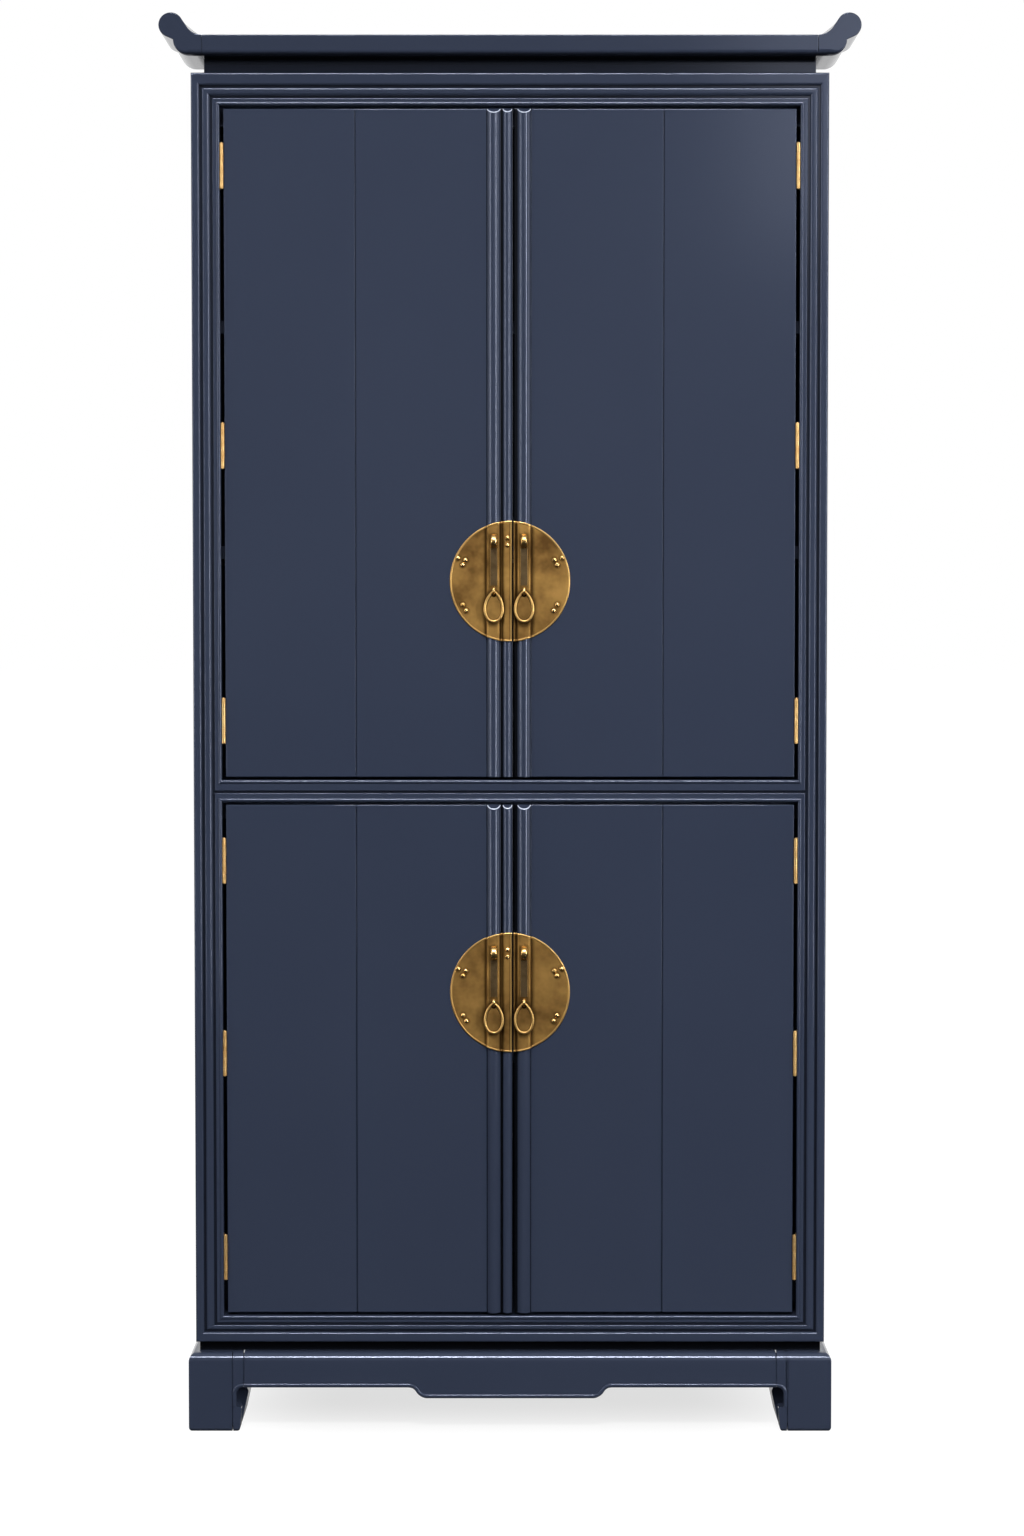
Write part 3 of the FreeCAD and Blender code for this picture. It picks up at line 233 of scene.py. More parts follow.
# %% Bars swept from an outline
PLANES = {"x": (1, 2, 0), "y": (0, 2, 1), "z": (0, 1, 2)}


def spot(axis, u, v, run):
    """A point in metres from an outline's u and v and a place along an axis, in millimetres."""
    values = [0, 0, 0]
    for position, value in zip(PLANES[axis], (u, v, run)):
        values[position] = value * MM
    return Vector(values)


def skin(rings, capped=True):
    """A closed mesh through rings of points that have the same count."""
    mesh = bmesh.new()
    rows = [[mesh.verts.new(point) for point in ring] for ring in rings]
    count = len(rows[0])
    for row, following in zip(rows, rows[1:]):
        for index in range(count):
            beside = (index + 1) % count
            mesh.faces.new((row[index], row[beside], following[beside], following[index]))
    if capped:
        mesh.faces.new(rows[0])
        mesh.faces.new(rows[-1])
    bmesh.ops.remove_doubles(mesh, verts=mesh.verts, dist=1e-6)
    bmesh.ops.recalc_face_normals(mesh, faces=mesh.faces)
    return mesh


def bar(axis, outline, low, high):
    """An outline swept along an axis; an end is a place, or a function of u and v where it is cut askew."""
    ends = []
    for end in (low, high):
        ends.append([spot(axis, u, v, end(u, v) if callable(end) else end) for u, v in outline])
    return skin(ends)


def box(x, y, z):
    """A board between (low, high) pairs."""
    return bar("z", [(x[0], y[0]), (x[1], y[0]), (x[1], y[1]), (x[0], y[1])], *z)


def eased(mesh, width=0.6, steps=2, angle=40, where=None):
    """Bevels convex edges sharper than an angle; where() may pick them by their middle in millimetres."""
    sharp = [edge for edge in mesh.edges
             if edge.is_manifold and edge.is_convex and edge.calc_face_angle(0) > math.radians(angle)
             and (where is None or where(*((edge.verts[0].co + edge.verts[1].co) / 2 / MM)))]
    bmesh.ops.bevel(mesh, geom=sharp, offset=width * MM, offset_type="OFFSET", segments=steps, profile=0.5,
                    affect="EDGES", clamp_overlap=True)
    return mesh


def joined(*meshes):
    """Several meshes as one."""
    whole = bmesh.new()
    for mesh in meshes:
        data = bpy.data.meshes.new("part_of_a_piece")
        mesh.to_mesh(data)
        mesh.free()
        whole.from_mesh(data)
        bpy.data.meshes.remove(data)
    return whole


def mirrored(mesh, axis=0, plane=0.0):
    """A mirror image across a plane at a place on an axis; its faces are turned outwards again."""
    image = mesh.copy()
    for vertex in image.verts:
        vertex.co[axis] = 2 * plane * MM - vertex.co[axis]
    bmesh.ops.reverse_faces(image, faces=image.faces)
    return image


def as_object(name, mesh):
    """A mesh, which is used up, as an object in the scene."""
    data = bpy.data.meshes.new(name)
    mesh.to_mesh(data)
    mesh.free()
    item = bpy.data.objects.new(name, data)
    bpy.context.scene.collection.objects.link(item)
    return item


def evaluated(item):
    """The mesh that an object's modifiers make of it."""
    return bpy.data.meshes.new_from_object(item.evaluated_get(bpy.context.evaluated_depsgraph_get()))


def carved(mesh, tool, operation="DIFFERENCE"):
    """A mesh cut by another, or what the two share."""
    items = [as_object("blank", source) for source in (mesh, tool)]
    cutter = items[0].modifiers.new("cut", "BOOLEAN")
    cutter.operation = operation
    cutter.solver = "EXACT"
    cutter.object = items[1]
    data = evaluated(items[0])
    result = bmesh.new()
    result.from_mesh(data)
    bmesh.ops.remove_doubles(result, verts=result.verts, dist=1e-6)
    for waste in [item.data for item in items] + [data]:
        bpy.data.meshes.remove(waste)
    return result


# %% A finished piece
made = []


def piece(name, mesh, finish, body, *nodes, smooth=35, wear_and_painted_light=None):
    """Turns a mesh into an object at the origin that rides on a body and stands for CAD nodes.
    The last argument is a rule of a point's place in millimetres that says how far its colour turns to the
    edge colour (1) or the recess colour (-1): worn edges and tarnish, and also painted highlights and painted
    shade."""
    item = as_object(name, mesh)
    data = item.data
    data.shade_smooth()
    data.set_sharp_from_angle(angle=math.radians(smooth))
    data.materials.append(finish)
    # large faces keep their own direction, and only the eased edges between them turn
    weigh = item.modifiers.new("weighted", "WEIGHTED_NORMAL")
    weigh.keep_sharp = True
    item.data = evaluated(item)
    item.modifiers.remove(weigh)
    bpy.data.meshes.remove(data)
    item.data.name = name
    if wear_and_painted_light:
        values = item.data.attributes.new("wear_and_painted_light", "FLOAT", "POINT").data
        for vertex, value in zip(item.data.vertices, values):
            value.value = max(-1.0, min(1.0, wear_and_painted_light(*(vertex.co / MM))))
    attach(item, body)
    if nodes:
        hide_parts(*nodes)
    made.append(item)


def softened(node, width):
    """A copy of a CAD board, merged and with eased edges."""
    mesh = bmesh.new()
    mesh.from_mesh(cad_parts[node].data)
    bmesh.ops.remove_doubles(mesh, verts=mesh.verts, dist=1e-6)
    bmesh.ops.dissolve_limit(mesh, angle_limit=math.radians(1), verts=mesh.verts, edges=mesh.edges)
    return eased(mesh, width, angle=60)


def on_both_sides(name, left, node, wear_and_painted_light=None):
    """A left piece of the case and its mirror image; the names have a place for the side."""
    for side, mesh in (("right", mirrored(left)), ("left", left)):
        piece(name.format(side), mesh, satin_navy, "case", node.format(side), wear_and_painted_light=wear_and_painted_light)


# %% [markdown]
# ## Case boards
# The case is a plain box of flat boards behind a moulded front. Their shapes are right in the frame
# already, so each board is a copy of its node with eased edges. Inside, the shelves and stops are finished
# matt.

# %% Boards, shelves and small steel parts
for node in ("left_side_panel", "right_side_panel", "case_top", "case_bottom", "middle_divider", "back_panel",
             "cornice_top"):
    piece(node + "_board", softened(node, 0.8), satin_navy, "case", node)
# the necks lie in the shade of what is above them, and that shade is painted on: black on the upper neck's
# upper half, dimmer on its lower half
UPPER_NECK_MIDDLE = 1998
piece("cornice_neck_board", softened("cornice_neck", 0.8), satin_navy, "case", "cornice_neck",
      wear_and_painted_light=lambda x, y, z: -0.45 if z < UPPER_NECK_MIDDLE else -1.0)
# a hairline shows at each end of the lower neck's front bar
neck_joints = [box((x - 0.4, x + 0.4), (-242, -240), (115, 133)) for x in (-405, 405)]
# the lower neck is painted black all over, as painted shade
piece("base_neck_board", carved(softened("base_neck", 0.8), joined(*neck_joints)), satin_navy, "case",
      "base_neck", wear_and_painted_light=lambda x, y, z: -1.0)
for node in ("upper_shelves", "lower_shelf", "door_stops"):
    piece(node + "_board", softened(node, 0.8), matt_navy, "case", node)
for node in ("shelf_pins", "magnetic_catches"):
    piece(node + "_turned", softened(node, 0.3), brushed_steel, "case", node)
for door, _, _ in DOORS:
    piece(f"{door}_strike_disc", softened(f"{door}_strike", 0.2), brushed_steel, f"{door}_door",
          f"{door}_strike")
print(len(made), "plain pieces")

# %% [markdown]
# ## Face frame
# Two stiles and three rails frame the doors. Their section has a broad outer band, a second band set back,
# and a flat with a small half-round bead along the opening; grooves part them. The bars meet in mitres. The
# bands of the rails are wider or narrower than the stiles', so the mitre line bends where the bands change.
# A bar whose ends follow that line makes a clean joint without any cutting.

# %% Levels of the front, in millimetres
FACE = -251.0
FRAME_DEEP, GROOVE_DEEP = 24, 7  # how far the frame and its inner groove go back from the face
CASE_LOW, CASE_HIGH = 131.0, 1987.0
HALF = 463.0
OPEN_HALF, OPEN_LOW, OPEN_HIGH = 421.7, 169.5, 1940.0
RAIL_LOW, RAIL_GROOVE, RAIL_HIGH, GROOVE_HALF = 928.1, 942.75, 960.5, 1.75
BEAD, BEAD_TOP, BEAD_FOOT = 5.6, 2.6, 4.8  # the bead's width, and how far its crown and its foot lie back
BEAD_ROUND = (BEAD ** 2 / 4 + (BEAD_FOOT - BEAD_TOP) ** 2) / (2 * (BEAD_FOOT - BEAD_TOP))
BEAD_TURN = math.degrees(math.asin(BEAD / 2 / BEAD_ROUND))
STILE_STEPS = (0, 12.4, 15.4, 27.4, 30.4, 41.3)
TOP_STEPS = (0, 18.1, 21.1, 33.1, 36.1, 47.0)
BOTTOM_STEPS = (0, 14.5, 17.5, 24.6, 27.6, 38.5)
MORTISE_HALF, MORTISE_BACK = 35.8, -228
HINGE_LEVELS = {"lower": (256.0, 557.8, 841.6), "upper": (1047.0, 1448.25, 1853.5)}
print("opening", 2 * OPEN_HALF, "by", OPEN_HIGH - OPEN_LOW, "mm")


def bead_arc(start):
    """The half-round bead, across from its start, and back from the face."""
    return on_arc((start + BEAD / 2, BEAD_TOP + BEAD_ROUND), BEAD_ROUND, 270 - BEAD_TURN, 270 + BEAD_TURN, 12)


def frame_section(steps):
    """The moulded section: across from the outer edge, and back from the face."""
    outer, groove, second, valley, inner = steps[1:]
    # a broad second band falls away in a large round, a narrow one keeps its edge
    fall = 4.8 if second - groove > 8 else 1.4
    return rounded([
        (0, FRAME_DEEP), (0, 0, 3.0), (outer, 0, 3.4), (outer, 5.5), (groove, 5.5), (groove, 2, 3.4),
        (second, 2, fall), (second, GROOVE_DEEP), (valley, GROOVE_DEEP), (valley, BEAD_FOOT, 1.6),
        *bead_arc(inner - BEAD), (inner, FRAME_DEEP)], 7)


def between(value, steps, other):
    """Where a place on one bar's steps falls on another bar's."""
    for low, high, first, last in zip(steps, steps[1:], other, other[1:]):
        if value <= high + 1e-6:
            return first + (last - first) * (value - low) / (high - low)
    return other[-1]


def painted_groove_shade(x, y, z):
    """Painted shade of the frame: its grooves are painted dark."""
    return -0.7 if FACE + 5.2 < y < FACE + 10 else 0.0


# %% Stiles, split where the middle rail points into them
POINT = 28.9  # the middle of the inner groove, where the rail's point ends
outline = frame_section(STILE_STEPS)


def stile_low(u):
    return CASE_LOW + between(u, STILE_STEPS, BOTTOM_STEPS)


def stile_high(u):
    return CASE_HIGH - between(u, STILE_STEPS, TOP_STEPS)


def notch(u, level):
    """The notch's edge on one side of the middle rail's point."""
    return RAIL_GROOVE + (level - RAIL_GROOVE) * max(0, u - POINT) / (STILE_STEPS[-1] - POINT)


def stile_part(points, low, high):
    """A strip of the left stile between two cut ends."""
    return bar("z", [(u - HALF, v + FACE) for u, v in points],
               lambda x, y: low(x + HALF), lambda x, y: high(x + HALF))


cut_at = next(index for index, (u, v) in enumerate(outline) if v == GROOVE_DEEP) + 1
parting = [(POINT, GROOVE_DEEP), (POINT, FRAME_DEEP)]
outer_points = outline[:cut_at] + parting
inner_points = parting[::-1] + outline[cut_at:]
mortises = [box((-OPEN_HALF - 1.5, -OPEN_HALF + 3), (-246.3, MORTISE_BACK),
                (level - MORTISE_HALF, level + MORTISE_HALF))
            for levels in HINGE_LEVELS.values() for level in levels]
bead_strips = joined(stile_part(inner_points, stile_low, lambda u: notch(u, RAIL_LOW)),
                     stile_part(inner_points, lambda u: notch(u, RAIL_HIGH), stile_high))
left_stile = joined(stile_part(outer_points, stile_low, stile_high), carved(bead_strips, joined(*mortises)))
on_both_sides("{}_stile_moulding", left_stile, "{}_stile", painted_groove_shade)
print("stiles with", len(mortises), "hinge mortises each")

# %% Rails


def rail(steps, edge, sign):
    """A rail whose section runs from an outer edge up (1) or down (-1), mitred into both stiles."""
    points = [(v + FACE, edge + sign * u) for u, v in frame_section(steps)]

    def left_end(y, z):
        return between(sign * (z - edge), steps, STILE_STEPS) - HALF

    return bar("x", points, left_end, lambda y, z: -left_end(y, z))


# the bead over the doors is pieced at one place
bead_joint = box((-346.6, -345.4), (FACE, -247.6), (OPEN_HIGH - 1, OPEN_HIGH + BEAD))
# besides its grooves, the top rail is painted a little darker all over, as painted shade
piece("top_rail_moulding", carved(rail(TOP_STEPS, CASE_HIGH, -1), bead_joint), satin_navy, "case", "top_rail",
      wear_and_painted_light=lambda x, y, z: painted_groove_shade(x, y, z) or -0.13)
piece("bottom_rail_moulding", rail(BOTTOM_STEPS, CASE_LOW, 1), satin_navy, "case", "bottom_rail",
      wear_and_painted_light=painted_groove_shade)
middle = rounded([
    (FRAME_DEEP, RAIL_LOW), *[(v, z) for z, v in bead_arc(RAIL_LOW)],
    (BEAD_FOOT, RAIL_GROOVE - GROOVE_HALF, 1), (GROOVE_DEEP, RAIL_GROOVE - GROOVE_HALF),
    (GROOVE_DEEP, RAIL_GROOVE),
    (GROOVE_DEEP, RAIL_GROOVE + GROOVE_HALF), (BEAD_FOOT, RAIL_GROOVE + GROOVE_HALF, 1),
    *[(v, z) for z, v in bead_arc(RAIL_HIGH - BEAD)], (FRAME_DEEP, RAIL_HIGH), (FRAME_DEEP, RAIL_GROOVE)], 5)


def rail_end(y, z):
    level = RAIL_LOW if z < RAIL_GROOVE else RAIL_HIGH
    return HALF - POINT - (STILE_STEPS[-1] - POINT) * (z - RAIL_GROOVE) / (level - RAIL_GROOVE)


middle_rail = bar("x", [(v + FACE, z) for v, z in middle], lambda y, z: -rail_end(y, z), rail_end)
piece("middle_rail_moulding", middle_rail, satin_navy, "case", "middle_rail", wear_and_painted_light=painted_groove_shade)
print("three rails")

# %% [markdown]
# ## Base
# The case stands on a low base: four hoof feet, an apron between each two, and a rounded upper edge all
# round. The front apron drops a little in the middle, and a slim bead follows its lower edge, goes round
# the corner and down the inside of each foot. A hairline parts each foot from a bracket piece, and another
# one parts that from the apron. The feet are what two outlines share, one seen from the front and one from
# the side; the bead is a half-round section swept along a path, so that it lies on the face everywhere.

# %% Apron edge and its bead
BASE_SIDE, BASE_FRONT, BASE_TOP, BASE_ROUND = 473.0, -261.0, 117.0, 13.0
APRON_LOW, DROP_LOW, APRON_BACK = 65.5, 49.5, -231.0
SEAM, HAIRLINE, LEG, HOOF_TOP, GAP = 392.0, 408.5, 402.8, 36.5, 0.6
BEAD_IN, APRON_DEEP, SIDE_ENDS = 3.2, 30, (-110.75, 118.75)
BASE_MIDDLE, BASE_BACK = 4.0, 269.0
# two arcs that touch lead from the apron's edge down to the drop
DROP_START, DROP_RUN, DROP_FALL = -150, 28, APRON_LOW - DROP_LOW
DROP_ROUND = (DROP_RUN ** 2 + DROP_FALL ** 2) / (4 * DROP_FALL)
DROP_TURN = math.degrees(math.asin(DROP_RUN / 2 / DROP_ROUND))
drop_curve = on_arc((DROP_START, APRON_LOW - DROP_ROUND), DROP_ROUND, 90, 90 - DROP_TURN, 8)
drop_curve += on_arc((DROP_START + DROP_RUN, DROP_LOW + DROP_ROUND), DROP_ROUND, 270 - DROP_TURN, 270, 8)[1:]


def swept_bead(path, axis, depth, width=5.4, rise=1.6):
    """A half-round bead along a flat path that lies on a face at a depth on an axis."""
    half = width / 2
    profile = [(half, 0.4), *[(half * math.cos(a), -rise * math.sin(a))
                              for a in [math.pi * step / 8 for step in range(9)]], (-half, 0.4)]
    rings = []
    for index, point in enumerate(path):
        ahead = Vector(path[min(index + 1, len(path) - 1)]) - Vector(path[max(index - 1, 0)])
        side = Vector((-ahead.y, ahead.x)).normalized()
        rings.append([spot(axis, *(Vector(point) + side * across), depth + lift) for across, lift in profile])
    return skin(rings)


def apron_section(low):
    return rounded([(BASE_FRONT, low), (APRON_BACK, low), (APRON_BACK, BASE_TOP),
                    (BASE_FRONT, BASE_TOP, BASE_ROUND)], 8)


edge = [(GAP - SEAM, APRON_LOW), *drop_curve]
edge += [(-x, z) for x, z in reversed(edge)]
front_apron = eased(skin([[spot("x", y, z, x) for y, z in apron_section(low)] for x, low in edge]), angle=60)
bead_path = [(x, z + BEAD_IN) for x, z in edge]
front_bead = swept_bead(bead_path, "y", BASE_FRONT)
piece("front_apron_board", joined(front_apron, front_bead), satin_navy, "case", "front_apron")
rear_section = rounded([(BASE_BACK - APRON_DEEP, APRON_LOW), (BASE_BACK, APRON_LOW),
                        (BASE_BACK, BASE_TOP, BASE_ROUND), (BASE_BACK - APRON_DEEP, BASE_TOP)], 8)
rear_apron = eased(bar("x", rear_section, 0.25 - SEAM, SEAM - 0.25), angle=60)
piece("rear_apron_board", rear_apron, satin_navy, "case", "rear_apron")
side_section = rounded([(-BASE_SIDE, APRON_LOW), (APRON_DEEP - BASE_SIDE, APRON_LOW),
                        (APRON_DEEP - BASE_SIDE, BASE_TOP), (-BASE_SIDE, BASE_TOP, BASE_ROUND)], 8)
side_apron = joined(eased(bar("y", side_section, *SIDE_ENDS), angle=60),
                    swept_bead([(y, APRON_LOW + BEAD_IN) for y in SIDE_ENDS], "x", -BASE_SIDE))
on_both_sides("{}_apron_board", side_apron, "{}_apron")
print("four aprons with beads")

# %% Hoof feet
FOOT_BACK, LEG_BACK, LEG_ROUND = -111.0, -120.0, 9
FOOT_SPAN = (-500, -350)  # wider than a foot
from_side = rounded([(BASE_FRONT, 0, 6), (LEG_BACK, 0, 6), (LEG_BACK, APRON_LOW, LEG_ROUND),
                     (FOOT_BACK, APRON_LOW), (FOOT_BACK, BASE_TOP), (BASE_FRONT, BASE_TOP, BASE_ROUND)], 8)
leg = rounded([(-BASE_SIDE, 0, 6), (-HAIRLINE - GAP, 0), (-HAIRLINE - GAP, BASE_TOP),
               (-BASE_SIDE, BASE_TOP, BASE_ROUND)], 8)
bracket = rounded([(GAP - HAIRLINE, 0), (-398, 0, 6), (-395, HOOF_TOP, 2.5), (-LEG, HOOF_TOP, 2.5),
                   (-LEG, APRON_LOW, LEG_ROUND), (-SEAM - GAP, APRON_LOW), (-SEAM - GAP, BASE_TOP),
                   (GAP - HAIRLINE, BASE_TOP)], 8)
behind = rounded([(-HAIRLINE, 0), (-399, 0, 6), (-387, 54, 8), (-393, APRON_LOW, 4), (-393, BASE_TOP),
                  (-HAIRLINE, BASE_TOP)], 8)


def foot_part(outline, front, back):
    """What an outline seen from the front shares with the foot seen from the side, with eased edges."""
    from_front = bar("y", outline, front, back)
    return eased(carved(from_front, bar("x", from_side, *FOOT_SPAN), "INTERSECT"), angle=60)


corner_path = rounded([(-LEG - BEAD_IN, HOOF_TOP + 1),
                       (-LEG - BEAD_IN, APRON_LOW + BEAD_IN, LEG_ROUND + BEAD_IN),
                       (-SEAM - GAP, APRON_LOW + BEAD_IN)], 10)
foot_bead = swept_bead(corner_path, "y", BASE_FRONT)
# a strip closes the hairline behind the face, and another one the seam
closed = (BASE_FRONT + 4, APRON_BACK - 2)
plain_foot = joined(foot_part(leg, BASE_FRONT - 1, FOOT_BACK + 1),
                    foot_part(bracket, BASE_FRONT - 1, APRON_BACK),
                    foot_part(behind, APRON_BACK, FOOT_BACK + 1),
                    box((-HAIRLINE - 2, -HAIRLINE + 2), closed, (12, BASE_TOP - 6)),
                    box((-SEAM - 3, -SEAM + 3), closed, (APRON_LOW + 2, BASE_TOP - 6)))
rear_left = mirrored(plain_foot, 1, BASE_MIDDLE)
front_left = joined(plain_foot, foot_bead)
# on the right foot the hairline shows only below the apron
strip = box((-HAIRLINE - 2, 2 - HAIRLINE), (BASE_FRONT - 1, APRON_BACK), (APRON_LOW - 2, BASE_TOP))
filled = carved(strip, bar("x", from_side, *FOOT_SPAN), "INTERSECT")
front_right = joined(mirrored(front_left), mirrored(filled))
piece("front_right_hoof", front_right, satin_navy, "case", "front_right_foot")
piece("rear_right_hoof", mirrored(rear_left), satin_navy, "case", "rear_right_foot")
piece("front_left_hoof", front_left, satin_navy, "case", "front_left_foot")
piece("rear_left_hoof", rear_left, satin_navy, "case", "rear_left_foot")
print("four hoof feet")

# %% [markdown]
# ## Cornice
# A flat moulding closes the top, with an end on each side that sweeps up into a round lobe. Each end is one
# outline of arcs that touch each other, run a hand's width back from the front, with a hairline where it
# meets the front moulding. Arcs that touch give a smooth reflection, which a hand-drawn curve would not.

# %% Outline of an upswept end
NECK_HALF, CORNICE_FRONT, FLARE_BACK = 445.0, -269.0, -134.0
CORNICE_LOW, CORNICE_HIGH = 2009.0, 2038.5
LOBE, LOBE_ROUND, LOBE_TURN = Vector((-489.6, 2052.4)), 17.8, 33.0
BULGE, BULGE_ROUND = Vector((-486.5, 2031.5)), 22.5
EASE, UNDERCUT, SPREAD, JOINT_HALF = 1.2, 9.0, 13.5, 0.2
# the lobe's arc runs into a straight slope, and a hollow arc lays the slope down on the top of the cornice
slope_top = Vector(on_arc(LOBE, LOBE_ROUND, LOBE_TURN, LOBE_TURN, 1)[0])
slope_foot = slope_top.x + (slope_top.y - CORNICE_HIGH) * math.tan(math.radians(LOBE_TURN))
hollow = (-NECK_HALF - slope_foot) / math.tan(math.radians(90 - LOBE_TURN) / 2)
sweep = on_arc((-NECK_HALF, CORNICE_HIGH + hollow), hollow, -90, LOBE_TURN - 180, 10)
sweep += [tuple(Vector(sweep[-1]).lerp(slope_top, step / 6)) for step in range(1, 6)]
down = BULGE - LOBE
touch = math.degrees(math.atan2(down.y, down.x) - math.acos(LOBE_ROUND / down.length)) + 360
flare_outline = (sweep + on_arc(LOBE, LOBE_ROUND, LOBE_TURN, touch, 32)
                 + on_arc(BULGE + Vector((BULGE_ROUND, 0)), BULGE_ROUND, 180, 270, 12)
                 + [(-NECK_HALF, CORNICE_LOW)])
flare_outline = [Vector((min(x, -NECK_HALF - JOINT_HALF), z)) for x, z in flare_outline]
print("outline of", len(flare_outline), "points")

# %% Upswept ends, rounded under their front and fanned out a little towards the back


def flare_rings():
    """Rings over the rounded front edge and one at the back; each point has its own rounding and spread."""
    angles = [math.radians(turn) for turn in (0, 22.5, 45, 67.5, 90)]
    rings = [[] for _ in range(len(angles) + 1)]
    for index, point in enumerate(flare_outline):
        ahead = flare_outline[(index + 1) % len(flare_outline)] - flare_outline[index - 1]
        outward = Vector((ahead.y, -ahead.x)).normalized()
        if index in (0, len(flare_outline) - 1):
            outward = Vector((0, 1 if index == 0 else -1))
        under = max(0.0, min(1.0, (point.x - BULGE.x) / BULGE_ROUND)) if point.y < BULGE.y else 0.0
        radius = EASE + (UNDERCUT - EASE) * under
        for ring, angle in zip(rings, angles):
            place = point - outward * radius * (1 - math.sin(angle))
            ring.append(spot("y", *place, CORNICE_FRONT + radius * (1 - math.cos(angle))))
        spread = SPREAD * math.sin(math.pi * index / len(sweep)) if index < len(sweep) else 0.0
        rings[-1].append(spot("y", *(point + outward * spread), FLARE_BACK))
    return rings


left_flare = eased(skin(flare_rings()), EASE, 2, 60, where=lambda x, y, z: y > FLARE_BACK - 1)
left_flare = eased(left_flare, 0.8, 2, 60, where=lambda x, y, z: x > -NECK_HALF - 1 and y < CORNICE_FRONT + 1)


def in_shade(x, y, z):
    """Painted shade of the cornice: black where its front turns under, and a little darker all over."""
    turned_under = y > CORNICE_FRONT + 1 and z < CORNICE_LOW + 8
    return -max(0.14, min(1.0, (CORNICE_LOW + 7 - z) / 6)) if turned_under else -0.14


on_both_sides("{}_flare_end", left_flare, "{}_flare", in_shade)
print("cornice lobe tops at", round(LOBE.y + LOBE_ROUND, 1), "mm")

# %% Front moulding
MOULDING_BACK = -229
moulding = rounded([(CORNICE_FRONT, CORNICE_LOW, 8), (MOULDING_BACK, CORNICE_LOW),
                    (MOULDING_BACK, CORNICE_HIGH), (CORNICE_FRONT, CORNICE_HIGH, 1.5)], 8)
front = eased(bar("x", moulding, JOINT_HALF - NECK_HALF, NECK_HALF - JOINT_HALF), 0.9)
piece("front_cornice_moulding", front, satin_navy, "case", "front_cornice", wear_and_painted_light=in_shade)
print("front moulding", 2 * NECK_HALF, "mm long")

# %% [markdown]
# ## Doors
# Each door is two wide boards with a hairline between them, and a meeting stile with round reeds: two on a
# left door, one on a right door. The reeds are arcs run up the door, and their tops are cut slanting, which
# leaves a small facet with a highlight painted along its rim. The boards are bars too, and the hinge mortises
# are cut out of them.

# %% Boards
DOOR_FACE, DOOR_BACK = -243.0, -221.0
DOOR_LEVELS = {"upper": (964.5, 1936.0), "lower": (173.5, 924.1)}
EDGE, SEAM_HALF = 416.4, 0.75
MEETING = {"left": 3.9, "right": 6.5}
STILE_LINE = {"left": -34.1, "right": 31.0}


def door_boards(tier, side):
    """The outer board with its tongue, mortised for the hinges, and the inner board with the groove."""
    sign = -OUTWARD[side]
    edge, inner = -sign * EDGE, STILE_LINE[side]
    seam = (edge + inner) / 2
    near, beyond = seam - sign * SEAM_HALF, seam + sign * SEAM_HALF
    cheek, cheek_back = DOOR_FACE + 8, DOOR_FACE + 14
    tip, pocket = near + sign * 8, near + sign * 8.5
    levels = DOOR_LEVELS[tier]
    outer_board = bar("z", [
        (edge, DOOR_FACE), (near, DOOR_FACE), (near, cheek), (tip, cheek), (tip, cheek_back),
        (near, cheek_back), (near, DOOR_BACK), (edge, DOOR_BACK)], *levels)
    inner_board = bar("z", [
        (beyond, DOOR_FACE), (inner, DOOR_FACE), (inner, DOOR_BACK), (beyond, DOOR_BACK),
        (beyond, cheek_back), (pocket, cheek_back), (pocket, cheek), (beyond, cheek)], *levels)
    cuts = [box(sorted((edge - sign * 3, edge + sign * 1.5)), (DOOR_FACE + 1.8, MORTISE_BACK),
                (level - MORTISE_HALF, level + MORTISE_HALF)) for level in HINGE_LEVELS[tier]]

    def at_rim(x, y, z):
        return y < DOOR_FACE + 1 and (abs(x - edge) < 1 or z < levels[0] + 1 or z > levels[1] - 1)

    boards = [eased(eased(board, 1.5, 3, where=at_rim)) for board in (outer_board, inner_board)]
    return joined(carved(boards[0], joined(*cuts)), boards[1])


for door, tier, side in DOORS:
    piece(f"{door}_boards_eased", door_boards(tier, side), satin_navy, f"{door}_door", f"{door}_door_boards")
print("boards of", len(DOORS), "doors")

# %% Reeded meeting stiles
REEDS = {"left": ((-33.5, 19.7, 8.0), (-10.6, 13.9, 6.8)), "right": ((10.7, 19.7, 8.0),)}
REED_SLANT = 0.75
REED_EASE, REED_INSET, REED_BAND = 0.7, 0.4, 0.9  # edge loops that give the painted highlight on the rim a sharp border
# how deep and how wide the painted highlight along the slanted cut's rim reaches
PAINTED_HIGHLIGHT_DEEP, PAINTED_HIGHLIGHT_WIDE = 0.8, 0.75


